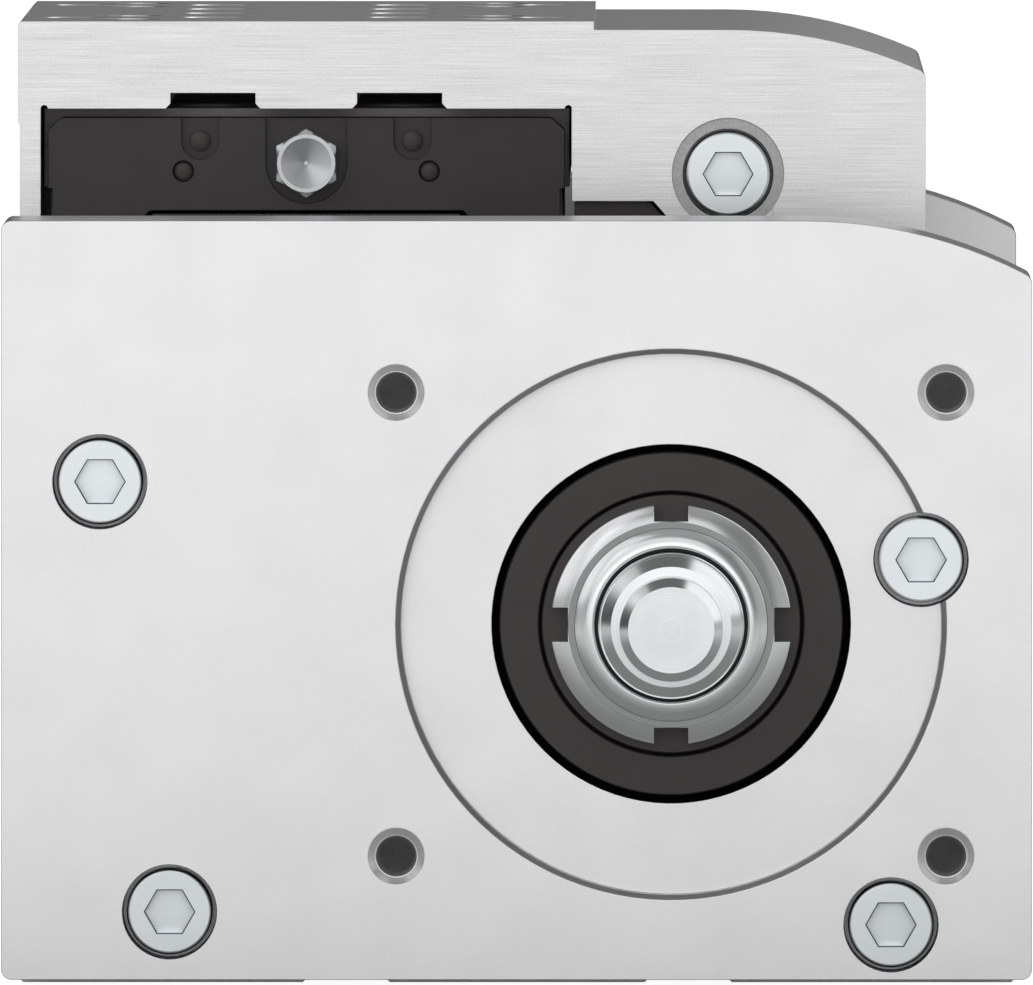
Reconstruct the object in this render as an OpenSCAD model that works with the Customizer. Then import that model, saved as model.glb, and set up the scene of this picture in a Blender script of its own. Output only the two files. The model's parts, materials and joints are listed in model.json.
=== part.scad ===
// Ball screw linear module: a carriage on a profile rail guide, driven by a ball screw beside it.
// X runs across the module, Y along the screw away from the drive end, Z up.
// The origin is at the bottom centre of the whole module. Sizes are in millimetres.

/* [Base profile] */
// Width of the extruded base
base_w = 118; // [116:1:124]
// Length of the base between the end plates
base_l = 214; // [200:1:600]
// Height of the rail seat above the underside
rail_seat_z = 74; // [73:0.5:77]
// Thickness of the floor under the screw channel
floor_t = 20; // [18:0.5:21]
// Width of the open channel that the screw runs in
channel_w = 46; // [45.5:0.5:47]
// Height of the wall on the screw side
side_wall_h = 76; // [72:1:78]
// Wall between the hollow chambers and the outside
chamber_wall = 3.2; // [2.5:0.1:4]
// Mouth width of the T-slots in the underside
slot_mouth = 8.6; // [8:0.1:10]
// Inner width of the T-slots
slot_inner = 16.5; // [15:0.5:18]
// Thickness of the T-slot lips
slot_lip = 4.6; // [3.5:0.1:5.5]
// Whole depth of the T-slots
slot_depth = 12.4; // [11:0.1:13.5]
// Distance of each T-slot from the middle of the base
slot_x = 20; // [19:0.5:22]

/* [End plates] */
// Width of both end plates
plate_w = 120; // [118:1:126]
// Thickness of both end plates
plate_t = 26; // [25:0.5:32]
// Gap between the plates' lower edge and the resting surface
plate_foot = 1.3; // [0.5:0.1:2.5]
// Height of the plates' top above the rail's top
plate_over_rail = 0.7; // [0.2:0.1:1.5]
// Radius of the rounded shoulder on the screw side
shoulder_r = 56; // [50:1:70]
// Width over which the plates' shoulder falls away
shoulder_w = 26.4; // [20:0.5:30]
// Radius of the small corners of the plates
plate_corner_r = 1.2; // [0.6:0.1:3]
// Nominal diameter of the screws that hold the end plates
plate_screw_d = 6; // [5:0.5:6.5]
// Length of the end plate screws under the head
plate_screw_l = 40; // [35:1:60]
// Diameter of the motor pilot recess
pilot_d = 63; // [60:0.5:65]
// Depth of the motor pilot recess
pilot_depth = 2.5; // [1.5:0.1:3]
// Spacing of the motor holes across the module
motor_hole_x = 64; // [62:1:66]
// Spacing of the motor holes in height
motor_hole_z = 54; // [50:1:58]
// Core diameter of the tapped motor holes
motor_hole_d = 5; // [4.2:0.1:6]

/* [Ball screw] */
// Place of the screw axis across the module
screw_x = 18; // [17.5:0.1:18.5]
// Height of the screw axis
screw_z = 42.7; // [42.2:0.1:44]
// Outer diameter of the threaded length
screw_d = 20; // [18:0.5:21]
// Travel of the nut for one turn
screw_lead = 20; // [10:5:40]
// Number of parallel ball grooves
screw_starts = 2; // [1:1:3]
// Radius of the ball grooves
groove_r = 1.85; // [1.5:0.05:2.1]
// How far the groove's centre line lies outside the threaded surface
groove_out = 0.25; // [0.1:0.05:0.5]
// Plain length at either end of the thread
thread_shoulder = 14; // [8:0.5:20]
// Diameter of the drive journal
journal_d = 12; // [10:0.5:14]
// How far the journal stands out of the drive plate
journal_out = 21; // [18:0.5:40]
// How far the locknut thread stands out of the drive plate
thread_out = 9.5; // [8:0.5:12]
// Bore of the fixed bearing
bearing_bore = 17; // [16.5:0.1:17.5]
// Outer diameter of the fixed bearing
bearing_od = 40; // [39:0.5:41]
// Width of the double row fixed bearing
bearing_w = 17.5; // [16:0.5:18]
// Bore of the floating bearing in the rear plate
rear_bore = 12; // [10:0.5:13]
// Outer diameter of the floating bearing
rear_od = 28; // [26:0.5:30]
// Width of the floating bearing
rear_bearing_w = 8; // [7:0.5:9]

/* [Rail guide] */
// Distance of the rail's centre line from the middle, on the far side from the screw
rail_offset = 25; // [25:0.1:25.5]
// Width of the rail's foot
rail_w = 42; // [41:0.5:42]
// Width of the rail's head
rail_head_w = 37.4; // [36:0.2:38.4]
// Height of the rail
rail_h = 15; // [14:0.5:16]
// Spacing of the rail screws along the rail
rail_pitch = 60; // [40:5:60]
// Spacing of the two rows of rail screws
rail_row_w = 24; // [22:0.5:25]
// Width of the runner blocks
block_w = 62; // [61:0.2:62]
// Length of each runner block with its end caps
block_l = 50; // [48:0.5:60]
// Height from the rail seat to the blocks' top
block_h = 27.3; // [26.5:0.1:28.5]
// Length of each end cap
cap_l = 8; // [7:0.5:10]
// Distance of each block's middle from the carriage's middle
block_y = 41; // [38:0.5:42]

/* [Carriage] */
// Length of the carriage along the screw
carriage_l = 134; // [134:1:170]
// Reach of the carriage on the rail side
carriage_left = 59; // [58.8:0.1:60]
// Reach of the carriage on the screw side
carriage_right = 48; // [46:0.5:50]
// Thickness of the carriage above the blocks
carriage_t = 10.4; // [10:0.1:14]
// How far the machined pad stands above the rest of the top
pad_step = 1; // [0.5:0.1:2]
// Where the machined pad ends on the screw side
pad_end_x = 8.9; // [8:0.1:12]
// Width of the arm that carries the nut housing
arm_w = 18; // [16:0.5:18]
// Length of the rubber stops that end the travel
stop_l = 4.6; // [3:0.2:8]
// Diameter of the ball nut's body
nut_d = 36; // [34:0.5:37]
// Length of the nut housing
housing_l = 44; // [40:1:46]
// Width and height of the nut housing
housing_w = 42; // [40:0.5:46]

/* [Hidden] */
$fn = 72;
eps = 0.01;
far = 400;

// Clearances: a seat is a fixed fit, a run is a shaft turning in a hole.
seat_gap = 0.02;
run_gap = 0.05;
hole_gap = 0.3;
body_gap = 0.4;

// Countersink in the mouth of a tapped hole.
hole_lead_in = 0.8;

// Stations along Y, from the journal's tip to the rear plate's back.
module_l = journal_out + 2 * plate_t + base_l;
drive_face = journal_out - module_l / 2;
base_start = drive_face + plate_t;
base_end = base_start + base_l;
rear_face = base_end + plate_t;
middle = (base_start + base_end) / 2;

// Rail, blocks and carriage heights.
rail_x = -rail_offset;
rail_top = rail_seat_z + rail_h;
plate_top = rail_top + plate_over_rail;
block_top = rail_seat_z + block_h;
pocket_top = block_top + 0.1;
pad_z = block_top + carriage_t;
flat_z = pad_z - pad_step;
arm_x1 = screw_x + 4;
arm_x2 = arm_x1 + arm_w;
housing_top = screw_z + housing_w / 2;
foot_t = 8;
foot_top = housing_top + foot_t;
foot_l = 92;
skirt_z = 81.5;
channel_x1 = rail_x + rail_w / 2;
channel_x2 = channel_x1 + channel_w;

// Bearing stations.
retainer_t = 3;
retainer_start = drive_face + pilot_depth + 0.5;
bearing_start = retainer_start + retainer_t;
bearing_end = bearing_start + bearing_w;
rear_bearing_start = base_end + 3;
rear_bearing_end = rear_bearing_start + rear_bearing_w;

// Places of the plate screws, as [across, up].
plate_screw_places = [
  [-plate_w / 2 + 11.5, 59.3], [-plate_w / 2 + 19.6, 9.2],
  [plate_w / 2 - 12.9, 50.2], [plate_w / 2 - 16.4, 7.7]
];
head_recess = 0.8;
counterbore_d = plate_screw_d * 11 / 6;
counterbore_depth = plate_screw_d + head_recess;

// ---------- helpers ----------

// An outline drawn in X and Z, made into a bar from y1 to y2.
module along(y1, y2) {
  translate([0, y2, 0]) rotate([90, 0, 0]) linear_extrude(height = y2 - y1) children();
}

// A round bar or hole along Y.
module rod(y1, y2, d, x = screw_x, z = screw_z) {
  translate([x, y1, z]) rotate([-90, 0, 0]) cylinder(d = d, h = y2 - y1);
}

// A cone along Y, from d1 at y1 to d2 at y2.
module taper(y1, y2, d1, d2, x = screw_x, z = screw_z) {
  translate([x, y1, z]) rotate([-90, 0, 0]) cylinder(d1 = d1, d2 = d2, h = y2 - y1);
}

module ring(y1, y2, outer, inner) {
  difference() {
    rod(y1, y2, outer);
    rod(y1 - 1, y2 + 1, inner);
  }
}

module box(x, y, z) {
  translate([x[0], y[0], z[0]]) cube([x[1] - x[0], y[1] - y[0], z[1] - z[0]]);
}

// A rectangle from its two corners.
module area(x, z) {
  translate([x[0], z[0]]) square([x[1] - x[0], z[1] - z[0]]);
}

// A rectangle with round corners.
module round_area(x, z, r) {
  area([x[0] + r, x[1] - r], z);
  area(x, [z[0] + r, z[1] - r]);
  for (cx = [x[0] + r, x[1] - r], cz = [z[0] + r, z[1] - r]) translate([cx, cz]) circle(r = r);
}

// A rectangle whose top falls away in one large arc on the right and ends in a small round.
module shouldered_area(x, z, fall_w, r) {
  centre = [x[1] - fall_w, z[1] - shoulder_r];
  small = [
    x[1] - r,
    centre[1] + sqrt(pow(shoulder_r - r, 2) - pow(fall_w - r, 2))
  ];
  lean = atan2(small[0] - centre[0], small[1] - centre[1]);
  difference() {
    union() {
      area([x[0], centre[0]], z);
      intersection() {
        translate(centre) circle(r = shoulder_r, $fn = 180);
        area([centre[0] - 1, x[1]], z);
      }
    }
    polygon([
      small, small + 3 * r * [sin(lean), cos(lean)], [x[1] + r, small[1] + 3 * r], [x[1] + r, small[1]]
    ]);
  }
  translate(small) circle(r = r);
}

// A socket cap screw along +Y, seated with the underside of its head at y = 0.
module cap_screw(d, l) {
  rotate([-90, 0, 0]) difference() {
    union() {
      translate([0, 0, -d]) cylinder(d = d * 5 / 3, h = d);
      cylinder(d = d, h = l);
    }
    translate([0, 0, -d - 1]) cylinder(d = d * 5 / 6 / cos(30), h = 1 + d * 0.55, $fn = 6);
  }
}

// The same screw pointing down, seated at z = 0.
module cap_screw_down(d, l) {
  rotate([-90, 0, 0]) cap_screw(d, l);
}

// ---------- base ----------

slot_shoulder = 3;
slot_lead_in = 0.8;

// A T-slot in the underside, with a bevelled mouth and a narrower root.
module t_slot(x) {
  mouth = slot_mouth / 2;
  inner = slot_inner / 2;
  root = slot_depth - slot_shoulder;
  area([x - mouth, x + mouth], [-1, slot_depth - 1]);
  area([x - inner, x + inner], [slot_lip, root]);
  polygon([[x - inner, root - eps], [x - mouth, slot_depth], [x + mouth, slot_depth], [x + inner, root - eps]]);
  polygon([[x - mouth - slot_lead_in, -eps], [x, mouth + slot_lead_in], [x + mouth + slot_lead_in, -eps]]);
}

base_edge = 1.2;
side_bevel = 3;
rail_bed_t = 19.5;
rail_ledge = [2.5, 1.5];
housing_room = 0.9;
pedestal_rib_x = rail_x - 8;
chamber_r = 2;
chamber_skin = 4;

module base_section() {
  left = -base_w / 2;
  right = base_w / 2;
  bed = rail_seat_z - rail_bed_t;
  chamber_floor = floor_t + chamber_wall;
  side_screw = plate_screw_places[2];
  side_x = [channel_x2 + chamber_wall, right - chamber_wall];
  difference() {
    union() {
      area([left, channel_x1], [0, rail_seat_z]);
      area([left, right], [0, floor_t]);
      area([channel_x2, right], [0, side_wall_h]);
      // A low ledge that the rail is pushed against.
      area([rail_x - rail_w / 2 - rail_ledge[0], rail_x - rail_w / 2 - run_gap],
        [rail_seat_z - 1, rail_seat_z + rail_ledge[1]]);
    }
    // Room for the nut housing along its travel.
    area([screw_x - housing_w / 2 - housing_room, screw_x + housing_w / 2 + housing_room],
      [screw_z - housing_w / 2 - housing_room, rail_seat_z + rail_h]);
    for (side = [-1, 1]) {
      t_slot(side * slot_x);
      translate([side * base_w / 2, 0]) rotate(45) square(base_edge * sqrt(2), center = true);
    }
    for (p = plate_screw_places) translate(p) circle(d = plate_screw_d + 2 * run_gap);
    // Chambers in the pedestal, the floor and the side wall, clear of the plate screws.
    round_area([left + chamber_wall, pedestal_rib_x - chamber_wall / 2], [chamber_floor, bed], chamber_r);
    round_area([pedestal_rib_x + chamber_wall / 2, channel_x1 - chamber_wall], [chamber_floor, bed], chamber_r);
    round_area([slot_inner / 2 - slot_x + chamber_wall, slot_x - slot_inner / 2 - chamber_wall],
      [chamber_skin, floor_t - chamber_skin], chamber_r);
    round_area([left + chamber_wall, plate_screw_places[1][0] - plate_screw_d / 2 - chamber_wall],
      [chamber_skin, floor_t - chamber_skin], chamber_r);
    round_area(side_x, [floor_t + chamber_wall, side_screw[1] - plate_screw_d / 2 - chamber_wall], chamber_r);
    round_area(side_x, [side_screw[1] + plate_screw_d / 2 + chamber_wall, side_wall_h - chamber_skin],
      chamber_r);
    // The side wall's top edge is bevelled outside.
    translate([right, side_wall_h]) rotate(45) square(side_bevel * sqrt(2), center = true);
  }
}

rail_screw_d = 4;
rail_screw_l = 18;
rail_cap_t = 1.3;
rail_counterbore_d = 7.5;
rail_screw_seat = rail_top - rail_screw_d - rail_cap_t;
rail_end_margin = 15;
rail_count = floor((base_l - 2 * rail_end_margin) / rail_pitch) + 1;
rail_places = [
  for (i = [0 : rail_count - 1], side = [-1, 1])
    [rail_x + side * rail_row_w / 2, middle + (i - (rail_count - 1) / 2) * rail_pitch]
];

module base_profile() {
  color("lightgray") difference() {
    along(base_start, base_end) base_section();
    for (p = rail_places)
      translate([p[0], p[1], rail_screw_seat - rail_screw_l - 1])
        cylinder(d = rail_screw_d + 2 * run_gap, h = far);
  }
}

rail_foot_h = 5.4;
rail_edge = 0.65;
rail_end_gap = 0.5;
raceway_r = 1.6;
raceway_out = 0.9;
raceway_heights = [8, 12];

// The rail's outline, made larger all round by grow. Only the rail itself has raceways.
module rail_section(grow = 0) {
  translate([rail_x, rail_seat_z]) {
    area([-rail_w / 2 - grow, rail_w / 2 + grow], [-grow, rail_foot_h + grow]);
    difference() {
      area([-rail_head_w / 2 - grow, rail_head_w / 2 + grow], [0, rail_h + grow]);
      for (side = [-1, 1]) {
        translate([side * (rail_head_w / 2 + grow), rail_h + grow]) rotate(45)
          square(rail_edge * sqrt(2), center = true);
        if (grow == 0) for (z = raceway_heights)
          translate([side * (rail_head_w / 2 + raceway_out), z]) circle(r = raceway_r);
      }
    }
  }
}

module guide_rail() {
  color("gainsboro") difference() {
    along(base_start + rail_end_gap, base_end - rail_end_gap) rail_section();
    for (p = rail_places) translate([p[0], p[1], 0]) {
      cylinder(d = rail_screw_d + 2 * hole_gap, h = far);
      translate([0, 0, rail_screw_seat]) cylinder(d = rail_counterbore_d, h = far);
    }
  }
}

module rail_screws() {
  color("dimgray") for (p = rail_places)
    translate([p[0], p[1], rail_screw_seat]) cap_screw_down(rail_screw_d, rail_screw_l);
}

module rail_hole_caps() {
  color("black") for (p = rail_places)
    translate([p[0], p[1], rail_screw_seat + rail_screw_d])
      cylinder(d = rail_counterbore_d - 2 * seat_gap, h = rail_cap_t);
}

// ---------- end plates ----------

module plate_body(y1, y2) {
  x = [-plate_w / 2, plate_w / 2];
  z = [plate_foot, plate_top];
  along(y1, y2) difference() {
    shouldered_area(x, z, shoulder_w, plate_corner_r);
    // The other three corners are rounded.
    for (c = [[x[0], z[0], 1, 1], [x[0], z[1], 1, -1], [x[1], z[0], -1, 1]])
      translate([c[0], c[1]]) corner_waste(c[2], c[3], plate_corner_r);
  }
}

// What is cut away from a square corner to leave it round.
module corner_waste(sx, sz, r) {
  difference() {
    translate([sx > 0 ? -1 : -r, sz > 0 ? -1 : -r]) square(r + 1);
    translate([sx * r, sz * r]) circle(r = r);
  }
}

// Holes for the plate screws, with the counterbores opening towards dir.
module plate_screw_holes(face, dir) {
  for (p = plate_screw_places) {
    rod(face - far / 2, face + far / 2, plate_screw_d + 2 * hole_gap, p[0], p[1]);
    mouth = [face - dir, face + dir * counterbore_depth];
    rod(min(mouth), max(mouth), counterbore_d, p[0], p[1]);
  }
}

motor_hole_depth = 18;
retainer_thread_h = 0.9;
bearing_stop_h = 3;
rear_pocket = 5;

module drive_end_plate() {
  color("silver") difference() {
    plate_body(drive_face, base_start);
    plate_screw_holes(drive_face, 1);
    rod(drive_face - 1, drive_face + pilot_depth, pilot_d);
    rod(drive_face - 1, bearing_start, bearing_od + 2 * retainer_thread_h);
    rod(drive_face - 1, bearing_end, bearing_od + 2 * seat_gap);
    rod(drive_face - 1, base_start + 1, bearing_od - 2 * bearing_stop_h);
    for (sx = [-1, 1], sz = [-1, 1]) {
      at = [screw_x + sx * motor_hole_x / 2, screw_z + sz * motor_hole_z / 2];
      rod(drive_face - 1, drive_face + motor_hole_depth, motor_hole_d, at[0], at[1]);
      taper(drive_face - eps, drive_face + hole_lead_in,
        motor_hole_d + 2 * hole_lead_in, motor_hole_d, at[0], at[1]);
    }
    bumper_hole(base_start, 1);
  }
}

module rear_end_plate() {
  color("silver") difference() {
    plate_body(base_end, rear_face);
    plate_screw_holes(rear_face, -1);
    rod(base_end - 1, rear_bearing_end + rear_pocket, rear_od + 2 * seat_gap);
    bumper_hole(base_end, -1);
  }
}

module drive_plate_screws() {
  color("whitesmoke") for (p = plate_screw_places)
    translate([p[0], drive_face + counterbore_depth, p[1]]) cap_screw(plate_screw_d, plate_screw_l);
}

module rear_plate_screws() {
  color("whitesmoke") for (p = plate_screw_places)
    translate([p[0], rear_face - counterbore_depth, p[1]]) rotate([0, 0, 180])
      cap_screw(plate_screw_d, plate_screw_l);
}

bumper_at = [(arm_x1 + carriage_right) / 2, (skirt_z + plate_top) / 2];
bumper_d = 7.4;
bumper_stem_d = 4;
bumper_stem_l = 5;

module bumper_hole(face, dir) {
  depth = [face - dir * (bumper_stem_l + rail_end_gap), face + dir];
  rod(min(depth), max(depth), bumper_stem_d + 2 * seat_gap, bumper_at[0], bumper_at[1]);
}

// Rubber stops pressed into both plates, facing the carriage.
module end_bumpers() {
  color("black") for (end = [[base_start, 1], [base_end, -1]]) {
    head = [end[0], end[0] + end[1] * stop_l];
    stem = [end[0] - end[1] * bumper_stem_l, end[0] + end[1]];
    rod(min(head), max(head), bumper_d, bumper_at[0], bumper_at[1]);
    rod(min(stem), max(stem), bumper_stem_d, bumper_at[0], bumper_at[1]);
  }
}

// ---------- fixed bearing in the drive plate ----------

ball_circle_d = (bearing_bore + bearing_od) / 2;
ball_d = 5.9;
ball_row_step = 7.7;
ball_count = 12;
ring_step = 2.2;
bearing_middle = (bearing_start + bearing_end) / 2;
ball_rows = [bearing_middle - ball_row_step / 2, bearing_middle + ball_row_step / 2];

module ball_groove(y, circle_d, d) {
  translate([screw_x, y, screw_z]) rotate([-90, 0, 0])
    rotate_extrude() translate([circle_d / 2, 0]) circle(d = d + 2 * run_gap);
}

module fixed_bearing_outer_ring() {
  color("darkgray") difference() {
    ring(bearing_start, bearing_end, bearing_od, ball_circle_d + 2 * ring_step);
    for (y = ball_rows) ball_groove(y, ball_circle_d, ball_d);
  }
}

module fixed_bearing_inner_ring() {
  color("darkgray") difference() {
    ring(bearing_start, bearing_end, ball_circle_d - 2 * ring_step, bearing_bore + 2 * seat_gap);
    for (y = ball_rows) ball_groove(y, ball_circle_d, ball_d);
  }
}

module balls(y, circle_d, d, count) {
  for (i = [0 : count - 1])
    translate([screw_x, y, screw_z]) rotate([0, i * 360 / count, 0])
      translate([circle_d / 2, 0, 0]) sphere(d = d, $fn = 24);
}

module fixed_bearing_balls() {
  color("white") for (y = ball_rows) balls(y, ball_circle_d, ball_d, ball_count);
}

labyrinth_d = 30.1;
labyrinth_gap = 0.38;

// Threaded ring that clamps the bearing's outer ring.
module bearing_retainer() {
  step = retainer_start + retainer_t / 2;
  inner = labyrinth_d + 2 * labyrinth_gap;
  color([0.24, 0.22, 0.21]) {
    ring(retainer_start, step, bearing_od, inner);
    ring(step, bearing_start, bearing_od + 2 * retainer_thread_h - 2 * run_gap, inner);
  }
}

module labyrinth_ring() {
  color([0.24, 0.22, 0.21])
    ring(retainer_start, bearing_start, labyrinth_d, bearing_bore + 2 * seat_gap);
}

// ---------- floating bearing in the rear plate ----------

rear_circle_d = (rear_bore + rear_od) / 2;
rear_ball_d = 4.4;
rear_ball_count = 9;
rear_ring_step = 1.7;
rear_row = (rear_bearing_start + rear_bearing_end) / 2;

module floating_bearing_outer_ring() {
  color("darkgray") difference() {
    ring(rear_bearing_start, rear_bearing_end, rear_od, rear_circle_d + 2 * rear_ring_step);
    ball_groove(rear_row, rear_circle_d, rear_ball_d);
  }
}

module floating_bearing_inner_ring() {
  color("darkgray") difference() {
    ring(rear_bearing_start, rear_bearing_end, rear_circle_d - 2 * rear_ring_step, rear_bore + 2 * seat_gap);
    ball_groove(rear_row, rear_circle_d, rear_ball_d);
  }
}

module floating_bearing_balls() {
  color("white") balls(rear_row, rear_circle_d, rear_ball_d, rear_ball_count);
}

circlip_t = 1;
circlip_h = 2;
circlip_mouth = 4;
circlip_seat_d = rear_bore - 0.5;

module rear_circlip() {
  color("dimgray") difference() {
    ring(rear_bearing_end, rear_bearing_end + circlip_t, rear_bore + 2 * circlip_h, circlip_seat_d);
    box([screw_x - circlip_mouth / 2, screw_x + circlip_mouth / 2],
      [rear_bearing_end - 1, rear_bearing_end + circlip_t + 1], [screw_z, screw_z + rear_bore]);
  }
}

// ---------- ball screw ----------

helix = atan(screw_lead / (PI * screw_d));
section_points = 30;
slices_per_turn = 15;
// The thread's lands are ground a little below the plain ends.
land_r = screw_d / 2 - 0.05;
journal_edge = 1;
step_edge = 0.8;
thread_neck_d = bearing_bore - 0.6;
thread_neck_edge = 1.2;
thread_relief = 3.6;
rear_shoulder = 4;
rear_journal_out = 3;

// Radius of the screw at an angle from the middle of a ball groove, cut square to the axis.
function thread_r(angle) =
  let (off = screw_lead * angle / 360 * cos(helix))
  abs(off) < groove_r
    ? min(land_r, screw_d / 2 + groove_out - sqrt(groove_r * groove_r - off * off))
    : land_r;

// The screw's cross section: a circle with one gothic dent for every start.
module thread_section() {
  share = 360 / screw_starts;
  polygon([
    for (i = [0 : section_points - 1])
      let (angle = i * 360 / section_points, r = thread_r((angle + share / 2) % share - share / 2))
        r * [cos(angle), sin(angle)]
  ]);
}

// The threaded length, twisted once for every lead, right-handed.
module ball_thread(y1, y2) {
  turns = (y2 - y1) / screw_lead;
  translate([screw_x, y1, screw_z]) rotate([-90, 0, 0])
    linear_extrude(height = y2 - y1, twist = -360 * turns, slices = ceil(slices_per_turn * turns),
      $fn = section_points) thread_section();
}

module ball_screw() {
  tip = drive_face - journal_out;
  thread_tip = drive_face - thread_out;
  shoulder_end = base_end - rear_shoulder;
  tail = rear_bearing_end + rear_journal_out;
  color("gainsboro") difference() {
    union() {
      taper(tip, tip + journal_edge, journal_d - 2 * journal_edge, journal_d);
      rod(tip + journal_edge, thread_tip - step_edge, journal_d);
      taper(thread_tip - step_edge, thread_tip, journal_d, journal_d + 2);
      taper(thread_tip, thread_tip + thread_neck_edge, journal_d + 2, thread_neck_d);
      rod(thread_tip + thread_neck_edge, drive_face - thread_relief, thread_neck_d);
      rod(drive_face - thread_relief, bearing_end, bearing_bore);
      rod(bearing_end, bearing_end + thread_shoulder, screw_d);
      ball_thread(bearing_end + thread_shoulder, shoulder_end - thread_shoulder);
      rod(shoulder_end - thread_shoulder, shoulder_end, screw_d);
      rod(shoulder_end, rear_bearing_start, rear_bore + 3);
      rod(rear_bearing_start, tail, rear_bore);
      taper(tail, tail + journal_edge, rear_bore, rear_bore - 2 * journal_edge);
    }
    // Groove for the circlip behind the floating bearing.
    ring(rear_bearing_end, rear_bearing_end + circlip_t + 2 * run_gap, rear_bore + 2 * circlip_h,
      circlip_seat_d - 2 * seat_gap);
  }
}

lock_nut_d = 28;
lock_nut_face_d = 23.8;
lock_nut_rim_d = 21.4;
lock_nut_rim_h = 1.4;
lock_nut_dome_r = 1.6;
lock_nut_fall = 0.5;
lock_nut_edge = 0.25;
lock_nut_slot = [4, 2];
lock_nut_out = 1;

// Locknut with four spanner slots, a face that falls away outwards and a domed locking collar.
module lock_nut() {
  front = drive_face - lock_nut_out;
  rim_front = front - lock_nut_rim_h;
  back = retainer_start;
  face_d = lock_nut_d - 2 * lock_nut_edge;
  fall_end = front + lock_nut_fall;
  color("silver") difference() {
    union() {
      taper(front, fall_end, lock_nut_face_d, face_d);
      taper(fall_end, fall_end + lock_nut_edge, face_d, lock_nut_d);
      rod(fall_end + lock_nut_edge, back, lock_nut_d);
      rod(rim_front, back, lock_nut_rim_d);
      translate([screw_x, rim_front, screw_z]) rotate([-90, 0, 0])
        rotate_extrude() translate([lock_nut_rim_d / 2 - lock_nut_dome_r, 0]) circle(r = lock_nut_dome_r);
    }
    rod(rim_front - far / 2, back + 1, bearing_bore + 2 * run_gap);
    for (turn = [0 : 90 : 270])
      translate([screw_x, front - 1, screw_z]) rotate([0, turn, 0])
        translate([lock_nut_d / 2 - lock_nut_slot[1], 0, -lock_nut_slot[0] / 2])
          cube([lock_nut_d, far, lock_nut_slot[0]]);
  }
}

// ---------- carriage ----------

pocket_gap = 0.3;
pocket_x1 = rail_x - block_w / 2 - pocket_gap;
pocket_x2 = rail_x + block_w / 2 + pocket_gap;
pocket_relief_r = 0.42;
groove_x = 11;
groove_w = 10;
groove_h = 1.85;
groove_flare = 0.6;
tunnel_top = pocket_top - 10.9;
tunnel_x2 = arm_x1 - 6.1;
tunnel_slope = 7;
front_y = middle - carriage_l / 2;
rear_y = middle + carriage_l / 2;
port_at = [arm_x1 + 2.7, pad_z - 18];
left_step = 5;
left_skirt_step = 0.22;
left_lip_h = 1.7;
carriage_shoulder_w = 23.3;
carriage_edge = 0.4;

module carriage_section() {
  x = [-carriage_left, carriage_right];
  difference() {
    union() {
      shouldered_area([x[0] + left_step, x[1]], [skirt_z, flat_z], carriage_shoulder_w, plate_corner_r);
      area([x[0], pad_end_x], [pocket_top - left_lip_h, pad_z]);
      area([x[0] + left_skirt_step, 0], [rail_top - left_step, pad_z - pad_step]);
      area([arm_x1, arm_x2], [foot_top, flat_z - carriage_t]);
    }
    // Pocket for the runner blocks, with relieved corners.
    area([pocket_x1, pocket_x2], [-1, pocket_top]);
    for (cx = [pocket_x1 + pocket_relief_r, pocket_x2 - pocket_relief_r])
      translate([cx, pocket_top - eps]) circle(r = pocket_relief_r);
    for (side = [-1, 1]) translate([rail_x + side * groove_x, pocket_top]) {
      area([-groove_w / 2, groove_w / 2], [-1, groove_h]);
      polygon([
        [-groove_w / 2 - groove_flare, -eps], [-groove_w / 2, groove_flare],
        [groove_w / 2, groove_flare], [groove_w / 2 + groove_flare, -eps]
      ]);
    }
    // Tunnel above the screw, with a sloped side that runs into the arm.
    area([pocket_x2 - 1, tunnel_x2], [-1, tunnel_top]);
    polygon([
      [tunnel_x2 - eps, tunnel_top], [tunnel_x2, tunnel_top], [arm_x1, tunnel_top - tunnel_slope],
      [arm_x1, -1], [tunnel_x2 - eps, -1]
    ]);
    // The left top edge is broken.
    translate([x[0], pad_z]) rotate(45) square(carriage_edge * sqrt(2), center = true);
  }
}

block_screw_d = 5;
block_screw_x = 21.5;
block_screw_pitch = 20;
block_screw_l = 12;
block_screw_seat = pocket_top + 4.9;
block_screw_places = [
  for (by = [-block_y, block_y], sx = [-1, 1], sy = [-1, 1])
    [rail_x + sx * block_screw_x, middle + by + sy * block_screw_pitch / 2]
];
load_hole_d = 6.8;
load_hole_pitch = 27;
load_hole_depth = 15;
outer_hole_d = 5;
outer_hole_x = 28;
outer_hole_depth = 9;
port_screw_d = 6;
port_screw_l = 16;
port_seat = port_screw_d + seat_gap * 10;
port_bore_d = 10.7;
spot_d = 13.2;
spot_depth = 0.4;
spot_flat = [-4.2, 5.3];
foot_screw_d = 6;
foot_screw_l = 22;
foot_screw_grip = 14;
foot_screw_x = (arm_x1 + arm_x2) / 2;
foot_screw_y = 38;

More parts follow.
